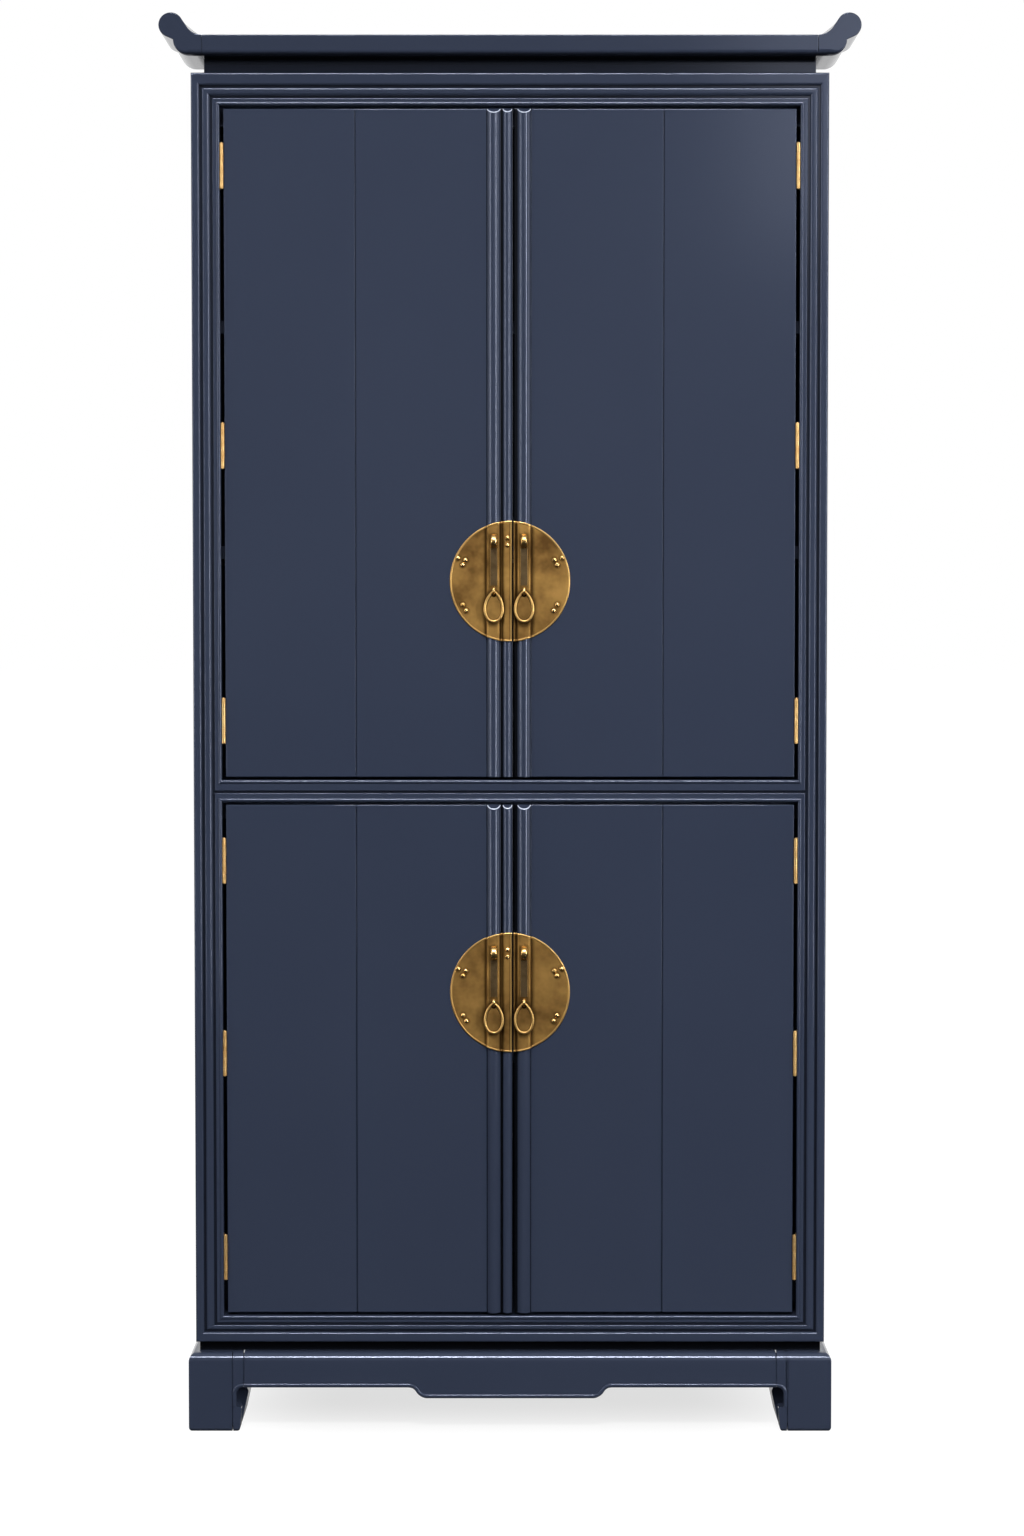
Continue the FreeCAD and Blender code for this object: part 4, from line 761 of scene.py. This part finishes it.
def reed(start, width, rise, low, high):
    """A round reed on the door face, cut slanting at its top, and a rule for the painted highlight along the
    edge of that cut.
    """
    radius = (width ** 2 / 4 + rise ** 2) / (2 * rise)
    centre = (start + width / 2, DOOR_FACE - rise + radius)
    turn = math.degrees(math.asin(width / 2 / radius))
    outline = on_arc(centre, radius, 270 - turn, 270 + turn, 28)
    outline = [(start, DOOR_FACE + 0.8), *outline, (start + width, DOOR_FACE + 0.8)]
    mesh = eased(bar("z", outline, low, lambda x, y: high - REED_SLANT * (DOOR_FACE - y)), REED_EASE, 1, 50)
    mesh.normal_update()
    slope = Vector((0, -REED_SLANT, 1)).normalized()
    top = max(mesh.faces, key=lambda face: face.normal.dot(slope))
    bmesh.ops.inset_individual(mesh, faces=[top], thickness=REED_INSET * MM)
    below = spot("z", 0, DOOR_FACE, high) - slope * REED_BAND * MM
    everything = mesh.verts[:] + mesh.edges[:] + mesh.faces[:]
    bmesh.ops.bisect_plane(mesh, geom=everything, plane_co=below, plane_no=slope)

    def rubbed_and_highlight(x, y, z):
        deep = (Vector((0, DOOR_FACE, high)) - Vector((0, y, z))).dot(slope)
        from_round = abs(math.hypot(x - centre[0], y - centre[1]) - radius)
        return deep < PAINTED_HIGHLIGHT_DEEP and y < DOOR_FACE - 0.3 and from_round < PAINTED_HIGHLIGHT_WIDE

    return mesh, rubbed_and_highlight


for door, tier, side in DOORS:
    low, high = DOOR_LEVELS[tier]
    reeds = [reed(*sizes, low, high) for sizes in REEDS[side]]
    across = sorted((STILE_LINE[side], MEETING[side]))
    stile = eased(box(across, (DOOR_FACE, DOOR_BACK), (low, high)), 0.5)
    # the rim of each reed's slanted cut is painted pale, a painted highlight
    piece(f"{door}_reeds", joined(*[mesh for mesh, _ in reeds]), satin_navy, f"{door}_door", smooth=20,
          wear_and_painted_light=lambda x, y, z: 1.0 if any(rubbed_and_highlight(x, y, z) for _, rubbed_and_highlight in reeds) else 0.0)
    # the stile's face between the reeds is painted black, as painted shade in the grooves between them
    piece(f"{door}_reeded_stile", stile, satin_navy, f"{door}_door", f"{door}_door_stile",
          wear_and_painted_light=lambda x, y, z: -1.0 if y < DOOR_FACE + 2 else 0.0)
print("meeting stiles with", {side: len(sizes) for side, sizes in REEDS.items()}, "reeds")

# %% [markdown]
# ## Lock plates
# A round sheet of brass, split at the door gap and bent over the reeds. A disc pressed over a profile is
# the same height along any upright line, so the mesh is made of upright columns: each column takes its
# depth from the bent profile and its length from the circle. A narrow raised rim draws the line round the
# plate; a highlight is painted along it, brightest at the top, and along the meeting edge, and painted shade,
# partly tarnish, lies in grooves, round the fittings and beside the strap: each point carries a value that
# the finish reads.

# %% Bent half plates
PLATE_LEVEL = {"upper": 1250.8, "lower": 648.4}
PLATE_ROUND, SHEET, RIM, RIM_RISE = 88.0, 1.2, 1.4, 0.9
FLAT, CREST = -244.2, -252.5
LOW_CREST = -251.3
PROFILES = {
    "left": [(-PLATE_ROUND, FLAT), (-35.6, FLAT, 1.6), (-34.2, CREST, 5.0), (-15.4, CREST, 5.0),
             (-12.2, -246.2, 1.4), (-9.2, LOW_CREST, 3.0), (0.0, LOW_CREST, 0.3), (0.5, -252.1, 0.5),
             (2.6, -252.1)],
    "right": [(5.3, -249.4), (7.3, -249.4, 0.8), (9.0, -246.0, 1.0), (11.0, CREST, 5.0), (31.0, CREST, 5.0),
              (32.4, FLAT, 1.6), (PLATE_ROUND, FLAT)]}


def profile_points(corners):
    """An open profile with rounded bends and close points along its flats."""
    bent = rounded([(corners[0][0], -300), *corners, (corners[-1][0], -300)], 6)[1:-1]
    points = [bent[0]]
    for point in bent[1:]:
        gap = point[0] - points[-1][0]
        parts = max(1, round(abs(gap) / 1.8))
        start = points[-1]
        points += [(start[0] + gap * step / parts, start[1] + (point[1] - start[1]) * step / parts)
                   for step in range(1, parts + 1)]
    return points


def half_plate(corners, level):
    """A bent sheet inside a circle, with a raised rim."""
    columns = [(max(-PLATE_ROUND + 0.02, min(PLATE_ROUND - 0.02, x)), y) for x, y in profile_points(corners)]
    insets = (0.0, 0.1, 0.35, 0.8, 1.4, 2.0, 2.45, 2.8, 3.6)
    flat_side = -1 if corners[0][0] < -50 else 1
    columns += [(flat_side * (PLATE_ROUND - inset), FLAT) for inset in insets[1:]]
    columns.sort()
    rings = []
    for x, y in columns:
        heights = [math.sqrt(max(0, (PLATE_ROUND - inset) ** 2 - x * x)) for inset in insets]
        outer = heights[:-1]
        middle = [heights[-1] * step / 28 for step in range(28, -29, -1)]
        levels = outer + middle + [-height for height in reversed(outer)]
        front = []
        for z in levels:
            across = (PLATE_ROUND - math.hypot(x, z)) / RIM - 1
            raised = RIM_RISE * math.sqrt(max(0.0, 1 - across * across))
            front.append(spot("y", x, level + z, y - raised))
        rings.append(front + [spot("y", x, level + z, y + SHEET) for z in reversed(levels)])
    return skin(rings)


RIVETS = ((76, 34), (65, 31), (69, 24), (69, -34.5), (64, -43))
STUDS = ((-3.65, 63), (-3.65, 52.5))
REED_X = {"left": -23.65, "right": 20.55}
# where the plate is painted dark, as shade in its grooves and at the foot of its bends: middle and width
GROOVES = ((-13.2, 6.5), (8.8, 5.0), (-35.6, 3.4), (32.2, 5.0), (-0.6, 1.0))
# the middle and half sizes of the painted shadow round the pull, and how far the eye lies below the plate's
# middle
PULL_MIDDLE, PULL_SIZE, EYE_DROP = -37.5, (15, 23.4), 14.0


def plate_tarnish_and_painted_light(level):
    """A rule for a plate: painted highlights along the rim, brightest at the top, and along the meeting edge;
    painted shade, partly tarnish, in the grooves, round the fittings, beside the strap and behind the pull's
    hole.
    """
    def near(distance, width):
        return max(0.0, 1 - max(0.0, distance) / width)

    def rule(x, y, z):
        up = z - level
        # painted highlight along the rim, brighter towards the top, and along the meeting edge
        rim = near(PLATE_ROUND - math.hypot(x, up) - 2.5, 0.7) * (0.55 + 0.45 * max(0.0, up / PLATE_ROUND))
        ridge = near(abs(x - 1.8) - 0.9, 0.6)
        # painted shade, partly tarnish, in the grooves and at the foot of the bends, and round the rivets
        dark = [near(abs(x - middle), width) for middle, width in GROOVES]
        dark += [0.8 * near(math.hypot(abs(x) - out, up - rise) - 3.4, 3.0) for out, rise in RIVETS]
        # a painted shadow round each pull, painted shade behind its hole, and painted shade beside the strap
        for reed in REED_X.values():
            stretch = math.hypot((x - reed) / PULL_SIZE[0], (up - PULL_MIDDLE) / PULL_SIZE[1])
            dark.append(0.9 * near((stretch - 1) * PULL_SIZE[0], 5.0))
            dark.append(1.3 * near(math.hypot(x - reed, up + EYE_DROP + 5) - 4.0, 2.0))
            if -10 < up < 70:
                dark.append(0.6 * near(abs(x - reed) - 5.9, 5.0))
        return max(rim, 0.9 * ridge) - max(dark) * (1 - rim)

    return rule


for door, tier, side in DOORS:
    piece(f"{door}_half_plate", half_plate(PROFILES[side], PLATE_LEVEL[tier]), aged_brass, f"{door}_door",
          f"{door}_lock_plate", smooth=50, wear_and_painted_light=plate_tarnish_and_painted_light(PLATE_LEVEL[tier]))
print("half plates of radius", PLATE_ROUND, "mm")

# %% [markdown]
# ## Rivets
# Domed rivet heads hold each half plate, and two more sit on the centre reed. They are one shape at many
# places, so a Geometry Nodes tree sets a dome on each point of a small mesh that has only vertices. The
# tree has named inputs for the head's sizes, and ends in Realize Instances and Set Material, so that the
# result is one plain mesh.

# %% A tree that sets a dome on each point


def new_tree(name, *inputs):
    """An empty geometry tree with a geometry input, number inputs with defaults, and an output."""
    tree = bpy.data.node_groups.new(name, "GeometryNodeTree")
    tree.interface.new_socket("Geometry", in_out="INPUT", socket_type="NodeSocketGeometry")
    for label, value in inputs:
        socket = tree.interface.new_socket(label, in_out="INPUT", socket_type="NodeSocketFloat")
        socket.default_value = value
    tree.interface.new_socket("Geometry", in_out="OUTPUT", socket_type="NodeSocketGeometry")
    return tree, add(tree, "NodeGroupInput")


def close_tree(tree, entry, shape, finish):
    """Sets the shape on every point, makes it real and gives it its finish."""
    spread = add(tree, "GeometryNodeInstanceOnPoints", {"Points": entry, "Instance": shape})
    real = add(tree, "GeometryNodeRealizeInstances", {"Geometry": spread})
    coated = add(tree, "GeometryNodeSetMaterial", {"Geometry": real, "Material": finish})
    add(tree, "NodeGroupOutput", {"Geometry": coated})
    return tree


def scattered(name, points, tree, values, finish, body, *nodes):
    """One plain mesh of a tree's shape at the points, in millimetres."""
    data = bpy.data.meshes.new(name)
    data.from_pydata([Vector(point) * MM for point in points], [], [])
    item = bpy.data.objects.new(name, data)
    bpy.context.scene.collection.objects.link(item)
    nodes_modifier = item.modifiers.new("shape", "NODES")
    nodes_modifier.node_group = tree
    for socket in tree.interface.items_tree:
        if socket.in_out == "INPUT" and socket.name in values:
            nodes_modifier[socket.identifier] = values[socket.name] * MM
    result = evaluated(item)
    mesh = bmesh.new()
    mesh.from_mesh(result)
    bmesh.ops.remove_doubles(mesh, verts=mesh.verts, dist=1e-6)
    item.modifiers.remove(nodes_modifier)
    bpy.data.meshes.remove(data)
    bpy.data.meshes.remove(result)
    piece(name, mesh, finish, body, *nodes)


tree, entry = new_tree("domed_heads", ("Head radius", 0.0034), ("Head height", 0.0026))
ball = add(tree, "GeometryNodeMeshUVSphere", {"Segments": 24, "Rings": 16, "Radius": 1.0})
squeeze = add(tree, "ShaderNodeCombineXYZ", {
    "X": entry.outputs["Head radius"], "Y": entry.outputs["Head height"], "Z": entry.outputs["Head radius"]})
dome = add(tree, "GeometryNodeTransform", {"Geometry": ball, "Scale": squeeze})
dome_tree = close_tree(tree, entry, dome, rubbed_brass)
print("tree:", dome_tree.name)

# %% Rivets on the plates
for door, tier, side in DOORS:
    heads = [(OUTWARD[side] * out, FLAT, PLATE_LEVEL[tier] + up) for out, up in RIVETS]
    if side == "left":
        heads += [(x, LOW_CREST, PLATE_LEVEL[tier] + up) for x, up in STUDS]
    scattered(f"{door}_rivets", heads, dome_tree, {"Head radius": 3.7, "Head height": 2.6}, rubbed_brass,
              f"{door}_door")
print("rivets:", len(DOORS) * len(RIVETS) + 2 * len(STUDS))

# %% [markdown]
# ## Staples, straps, eyes and pulls
# On each wide reed a round-nosed staple stands at the top, a dull strap with bright edges runs down from it
# to a ring, and an egg-shaped pull hangs in that ring. The egg is four kinds of arc that touch each other:
# a crown, two long arcs on each side and a bowl. An arc moved inwards keeps its centre, so a few such rings
# at different depths give the pull a raised rim and a sunk middle.

# %% Staple, strap and eye
EYE_Y, EYE_ROUND, EYE_WIRE = -258.5, 4.6, 2.0
STAPLE_UP, STAPLE_ROUND, STAPLE_HALF, STAPLE_BORE = 58, 10.5, 4.9, 4.6
STRAP_LOW, STRAP_HIGH, SUNK = -6, 48.5, 0.6


def staple(x, level):
    """A round-nosed staple with a bore from side to side."""
    nose = CREST - 2.5
    low, high = level - STAPLE_ROUND, level + STAPLE_ROUND
    outline = [(CREST + SUNK, low), (nose, low), *on_arc((nose, level), STAPLE_ROUND, 270, 90, 24)[1:],
               (CREST + SUNK, high)]
    solid = eased(bar("x", outline, x - STAPLE_HALF, x + STAPLE_HALF), 3.0, 5, 60)
    bore = bar("x", on_arc((nose, level), STAPLE_BORE, 0, 360, 24)[:-1], x - 9, x + 9)
    return carved(solid, bore)


def eye(x, level):
    """A ring that stands upright on a short post."""
    wire = on_arc((EYE_ROUND, x), EYE_WIRE, 0, 360, 14)[:-1]
    rings = []
    for step in range(33):
        turn = math.tau * step / 32
        rings.append([spot("x", EYE_Y + out * math.cos(turn), level + out * math.sin(turn), across)
                      for out, across in wire])
    post = bar("y", on_arc((x, level), 2.2, 0, 360, 20)[:-1], CREST - 3, CREST + SUNK)
    return joined(skin(rings, capped=False), eased(post, 0.4))


for door, tier, side in DOORS:
    x, level = REED_X[side], PLATE_LEVEL[tier]
    fittings = joined(staple(x, level + STAPLE_UP), eye(x, level - EYE_DROP))
    piece(f"{door}_staple_and_eye", fittings, rubbed_brass, f"{door}_door", f"{door}_plate_fittings")
    half = [(5.5, CREST + 2.4), (5.5, CREST - 1.2, 0.8), (4.7, CREST - 1.2, 0.4), (4.4, CREST - 0.9)]
    section = rounded([(x - corner[0], *corner[1:]) for corner in half]
                      + [(x + corner[0], *corner[1:]) for corner in reversed(half)], 4)
    strap = bar("z", section, level + STRAP_LOW, level + STRAP_HIGH)
    piece(f"{door}_strap", strap, dull_strap, f"{door}_door",
          wear_and_painted_light=lambda px, py, pz: 0.5 if abs(px - x) > 5.0 else 0.0)
print("staples, straps and eyes on", len(DOORS), "doors")

# %% Teardrop pulls
PULL_TOP, PULL_LENGTH, PULL_HALF, PULL_WIDEST = 0.3, 46.8, 15.0, 27.0
PULL_CROWN, PULL_BOWL = 5.6, 13.2
HOLE_DROP, HOLE_ROUND = 5.6, 3.7


def side_arc(end_radius, reach):
    """Radius of the side arc that starts upright at the widest place and touches an end arc, and its turn."""
    away = reach - end_radius
    radius = (PULL_HALF ** 2 + away ** 2 - end_radius ** 2) / (2 * (PULL_HALF - end_radius))
    return radius, math.atan2(away, radius - PULL_HALF)


HIGH_SIDE, HIGH_TURN = side_arc(PULL_CROWN, PULL_WIDEST)
LOW_SIDE, LOW_TURN = side_arc(PULL_BOWL, PULL_LENGTH - PULL_WIDEST)


def teardrop_ring(x, eye_level, inset, depth):
    """The egg's outline, moved in by an inset, at a depth."""
    ring = []
    for step in range(120):
        turn = math.tau * (step + 0.5) / 120
        across, up = math.cos(turn), math.sin(turn)
        if up > math.sin(HIGH_TURN):
            centre, fall, radius = 0, PULL_CROWN, PULL_CROWN
        elif up < -math.sin(LOW_TURN):
            centre, fall, radius = 0, PULL_LENGTH - PULL_BOWL, PULL_BOWL
        else:
            radius = HIGH_SIDE if up > 0 else LOW_SIDE
            centre, fall = math.copysign(1, across) * (PULL_HALF - radius), PULL_WIDEST
        ring.append(spot("y", x + centre + across * (radius - inset),
                         eye_level + PULL_TOP - fall + up * (radius - inset), EYE_Y + depth))
    return ring


# how far in, and how deep: back edge, side, raised rim, sunk middle
PULL_STEPS = ((0.8, 1.3), (0.2, 1.1), (0.0, 0.6), (0.0, -0.3), (0.15, -0.9), (0.5, -1.45), (1.1, -1.85),
              (2.0, -2.0), (2.9, -1.85), (3.5, -1.45), (3.85, -0.9), (4.0, -0.45), (4.4, -0.28), (5.2, -0.2))


def pull_wear_and_painted_light(x, y, z):
    """Bright on the raised rim, partly worn brass and partly a painted highlight; painted shade along the
    foot of its inner side, and a little darker elsewhere.
    """
    depth = y - EYE_Y
    return 0.8 if depth < -0.7 else -0.8 if depth < -0.25 else -0.3


for door, tier, side in DOORS:
    x, level = REED_X[side], PLATE_LEVEL[tier] - EYE_DROP
    drop = skin([teardrop_ring(x, level, *step) for step in PULL_STEPS])
    hole = bar("y", on_arc((x, level - HOLE_DROP), HOLE_ROUND, 0, 360, 28)[:-1], EYE_Y - 5, EYE_Y + 5)
    piece(f"{door}_teardrop_pull", carved(drop, hole), aged_brass, f"{door}_teardrop", f"{door}_pull",
          wear_and_painted_light=pull_wear_and_painted_light)
print("teardrop pulls, each", round(2 * PULL_HALF, 1), "mm wide")

# %% [markdown]
# ## Hinges
# Each door hangs on three butt hinges. Their barrels show as short bright strokes in the gap; the leaves
# lie in mortises and show when a door opens. The five knuckles of a barrel belong in turn to the case and
# to the door, so the same tree sets them on two sets of points. Screws are a third repeat.

# %% Trees for knuckles and screw heads
tree, entry = new_tree("hinge_knuckles", ("Barrel radius", 0.003), ("Knuckle length", 0.0134),
                       ("Ease", 0.0004))
radius, ease = entry.outputs["Barrel radius"], entry.outputs["Ease"]
eases = add(tree, "ShaderNodeMath", {0: ease, 1: 2.0}, operation="MULTIPLY")
straight = add(tree, "ShaderNodeMath", {0: entry.outputs["Knuckle length"], 1: eases}, operation="SUBTRACT")
tube = add(tree, "GeometryNodeMeshCylinder", {
    "Vertices": 28, "Radius": radius, "Depth": straight}, fill_type="NONE")
end_radius = add(tree, "ShaderNodeMath", {0: radius, 1: ease}, operation="SUBTRACT")
end_place = add(tree, "ShaderNodeMath", {0: straight, 1: 0.5}, operation="MULTIPLY")
end_shift = add(tree, "ShaderNodeCombineXYZ", {"Z": end_place})
collar = add(tree, "GeometryNodeMeshCone", {
    "Vertices": 28, "Radius Top": end_radius, "Radius Bottom": radius, "Depth": ease}, fill_type="NGON")
upper = add(tree, "GeometryNodeTransform", {"Geometry": collar, "Translation": end_shift})
lower = add(tree, "GeometryNodeTransform", {"Geometry": upper, "Rotation": (math.pi, 0, 0)})
knuckle = add(tree, "GeometryNodeJoinGeometry")
for part in (tube, upper, lower):
    tree.links.new(part.outputs[0], knuckle.inputs["Geometry"])
knuckle_tree = close_tree(tree, entry, knuckle, bright_brass)

tree, entry = new_tree("screw_heads", ("Head radius", 0.0023), ("Slot width", 0.0006))
head = add(tree, "GeometryNodeMeshCylinder", {
    "Vertices": 20, "Radius": entry.outputs["Head radius"], "Depth": 0.0008})
slot_size = add(tree, "ShaderNodeCombineXYZ", {"X": 0.02, "Y": entry.outputs["Slot width"], "Z": 0.0005})
slot = add(tree, "GeometryNodeMeshCube", {"Size": slot_size})
slots = add(tree, "GeometryNodeJoinGeometry")
for lift in (0.0004, -0.0004):
    moved = add(tree, "GeometryNodeTransform", {"Geometry": slot, "Translation": (0, 0, lift)})
    tree.links.new(moved.outputs["Geometry"], slots.inputs["Geometry"])
slotted = add(tree, "GeometryNodeMeshBoolean", {"Mesh 1": head, "Mesh 2": slots}, operation="DIFFERENCE")
turned = add(tree, "GeometryNodeTransform", {"Geometry": slotted, "Rotation": (0.6, math.pi / 2, 0)})
screw_tree = close_tree(tree, entry, turned, bright_brass)
print("trees:", knuckle_tree.name, screw_tree.name)

# %% Leaves, knuckles, pin buttons and screws
HINGE_X, HINGE_Y, HINGE_HALF = 419.05, -245.0, 33.2
STEP = 2 * HINGE_HALF / 5
LEAF_FACE, LEAF_BACK, SCREW_PLACE = 2.65, 4.1, 2.75  # how far across from the barrel's axis
SCREWS = ((11.5, -24), (8.5, 0), (11.5, 24))  # how far back from the axis, and up from the hinge's middle


def hinge_set(prefix, leaves_name, node, body, hinges, turned, indices):
    """One owner's halves of hinges at (side, level): leaves with webs to their knuckles, knuckles and screws.
    The leaves lie outwards (turned is 1, on the case) or inwards (-1, on a door) of the barrel's axis."""
    leaves, knuckles, screws = [], [], []
    for side, level in hinges:
        axis, toward, low = OUTWARD[side] * HINGE_X, OUTWARD[side] * turned, level - HINGE_HALF
        leaves.append(eased(box(sorted((axis + toward * LEAF_FACE, axis + toward * LEAF_BACK)),
                                (HINGE_Y + 4.2, HINGE_Y + 17), (low, level + HINGE_HALF)), 0.2, 1))
        leaves += [box(sorted((axis, axis + toward * LEAF_BACK)), (HINGE_Y + 2.9, HINGE_Y + 4.6),
                       (low + STEP * index + 0.2, low + STEP * (index + 1) - 0.2)) for index in indices]
        knuckles += [(axis, HINGE_Y, low + STEP * (index + 0.5)) for index in indices]
        screws += [(axis + toward * SCREW_PLACE, HINGE_Y + depth, level + up) for depth, up in SCREWS]
    piece(f"{prefix}_hinge_{leaves_name}", joined(*leaves), bright_brass, body, node)
    scattered(f"{prefix}_hinge_knuckles", knuckles, knuckle_tree,
              {"Barrel radius": 2.9, "Knuckle length": STEP - 0.25, "Ease": 0.25}, bright_brass, body)
    scattered(f"{prefix}_hinge_screws", screws, screw_tree,
              {"Head radius": 2.3, "Slot width": 0.6}, bright_brass, body)


everywhere = [(side, level) for side in OUTWARD for levels in HINGE_LEVELS.values() for level in levels]
hinge_set("frame", "leaves", "hinge_frame_leaves", "case", everywhere, 1, (0, 2, 4))
caps = [(OUTWARD[side] * HINGE_X, HINGE_Y, level + end * (HINGE_HALF - 0.2)) for side, level in everywhere
        for end in (-1, 1)]
scattered("hinge_pin_buttons", caps, dome_tree,
          {"Head radius": 1.2, "Head height": 1.2}, bright_brass, "case", "hinge_pins")
for door, tier, side in DOORS:
    hinge_set(door, "leaf_set", f"{door}_hinge_leaves", f"{door}_door",
              [(side, level) for level in HINGE_LEVELS[tier]], -1, (1, 3))
print(len(everywhere), "hinges")

# %% [markdown]
# ## Floor, light and camera
# The surroundings are white, so the floor is pale. Under the object its glow is lowered, a painted shadow
# beside the soft shadow that it catches. The camera's own rays see the world as plain white. As light,
# the world is dimmer in front, where a room would be, and white behind and above. A wide soft box overhead
# lights the upper edges, and tall strips on both sides give the reeds their lines of light.

# %% Floor
ground = bmesh.new()
bmesh.ops.create_grid(ground, x_segments=1, y_segments=1, size=60)
floor = as_object("studio_floor", ground)
floor_finish, tree, shader = new_finish("matt_white_floor", Roughness=0.9, Specular_IOR_Level=0.0)
shader.inputs["Emission Color"].default_value = colour("#ffffff")
place = add(tree, "ShaderNodeTexCoord").outputs["Object"]
# the floor's glow is lower only under the object, a painted shadow there; in a reflection it fades towards
# the front, into the dark room
spread = add(tree, "ShaderNodeVectorMath", {0: place}, operation="ABSOLUTE")
beyond = add(tree, "ShaderNodeVectorMath", {0: spread, 1: (0.25, 0.06, 1.0)}, operation="SUBTRACT")
outside = add(tree, "ShaderNodeVectorMath", {0: beyond, 1: (0, 0, 0)}, operation="MAXIMUM")
away = add(tree, "ShaderNodeVectorMath", {0: outside}, operation="LENGTH")
rise = add(tree, "ShaderNodeMapRange", {
    "Value": away.outputs["Value"], "From Max": 0.34, "To Min": 0.72}, interpolation_type="SMOOTHSTEP")
along = add(tree, "ShaderNodeSeparateXYZ", {"Vector": place})
forward = add(tree, "ShaderNodeMapRange", {"Value": along.outputs["Y"], "From Min": -0.3, "From Max": 0.2})
rays = add(tree, "ShaderNodeLightPath")
# what the floor throws back at the object is dark, as from a black cloth, so that recesses stay dark
cloth = add(tree, "ShaderNodeMix", {
    0: rays.outputs["Is Camera Ray"], 6: colour("#202020"), 7: colour("#5c5c5c")}, data_type="RGBA")
tree.links.new(cloth.outputs[2], shader.inputs["Base Color"])
mirrored_rays = add(tree, "ShaderNodeMath", {0: rays.outputs["Is Glossy Ray"], 1: forward},
                    operation="MULTIPLY")
looked_at = add(tree, "ShaderNodeMath", {0: rays.outputs["Is Camera Ray"], 1: mirrored_rays},
                operation="MAXIMUM")
glow = add(tree, "ShaderNodeMath", {0: looked_at, 1: rise}, operation="MULTIPLY")
tree.links.new(glow.outputs[0], shader.inputs["Emission Strength"])
floor.data.materials.append(floor_finish)
floor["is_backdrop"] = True
print("floor:", floor_finish.name)

# %% World
world = bpy.data.worlds.new("white_studio")
world.use_nodes = True
bpy.context.scene.world = world
tree = world.node_tree
tree.nodes.clear()
heading = add(tree, "ShaderNodeSeparateXYZ", {"Vector": add(tree, "ShaderNodeTexCoord").outputs["Generated"]})
behind_light = add(tree, "ShaderNodeMapRange", {
    "Value": heading.outputs["Y"], "From Min": -0.6, "From Max": 0.3, "To Min": 0.16},
    interpolation_type="SMOOTHSTEP")
ceiling = add(tree, "ShaderNodeMapRange", {
    "Value": heading.outputs["Z"], "From Min": 0.3, "From Max": 0.9, "To Max": 0.8},
    interpolation_type="SMOOTHSTEP")
level = add(tree, "ShaderNodeMath", {0: behind_light, 1: ceiling}, operation="MAXIMUM")
rays = add(tree, "ShaderNodeLightPath")
seen = add(tree, "ShaderNodeMath", {0: rays.outputs["Is Camera Ray"], 1: rays.outputs["Is Transmission Ray"]},
           operation="MAXIMUM")
# in a reflection the world has its full level; as plain light it is weaker, so that the soft boxes lead
fill = add(tree, "ShaderNodeMapRange", {"Value": rays.outputs["Is Glossy Ray"], "To Min": 0.1})
around = add(tree, "ShaderNodeMath", {0: level, 1: fill}, operation="MULTIPLY")
strength = add(tree, "ShaderNodeMix", {0: seen, 2: around, 3: 1.0})
sky = add(tree, "ShaderNodeBackground", {"Color": colour("#ffffff"), "Strength": strength})
add(tree, "ShaderNodeOutputWorld", {"Surface": sky})
print("world:", world.name)

# %% Lamps: name, place, height that it looks at, size, and power in watts
LAMPS = (("overhead_box", (0, -10.2, 11.2), 1.0, (3.8, 1.3), 1600),
         ("left_strip", (-3.7, -2.9, 1.6), 1.1, (0.36, 3.0), 50),
         ("left_edge_strip", (-4.2, -1.4, 1.6), 1.1, (0.3, 3.0), 26),
         ("right_strip", (2.7, -3.7, 1.6), 1.1, (0.42, 3.0), 104),
         ("right_edge_strip", (4.2, -1.4, 1.6), 1.1, (0.3, 3.0), 26),
         ("high_front_box", (2.2, -9.0, 4.0), 1.2, (2.6, 2.6), 38))
for name, place, aim, size, power in LAMPS:
    lamp = bpy.data.lights.new(name, "AREA")
    lamp.shape = "RECTANGLE"
    lamp.size, lamp.size_y = size
    lamp.energy = power
    item = bpy.data.objects.new(name, lamp)
    item.location = place
    item.rotation_euler = (Vector((0, -0.25, aim)) - Vector(place)).to_track_quat("-Z", "Y").to_euler()
    bpy.context.scene.collection.objects.link(item)
print(len(LAMPS), "soft boxes")

# %% Camera at the photograph's place, with a lens and a tilt that fit its picture
camera = bpy.data.objects.new("front_camera", bpy.data.cameras.new("front_camera"))
camera.data.sensor_fit = "VERTICAL"
camera.data.sensor_height = 36
camera.data.lens = 80.22
camera.location = (0.0029, -5.251, 1.2138)
camera.rotation_euler = (math.pi / 2 - 0.0471, 0, 0)
bpy.context.scene.collection.objects.link(camera)
bpy.context.scene.camera = camera
bpy.context.scene.view_settings.view_transform = "Standard"
print("lens", round(camera.data.lens, 2), "mm")

# %% Sizes and a count of the pieces
low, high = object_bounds()
print(len(made), "pieces,", sum(len(item.data.polygons) for item in made), "faces")
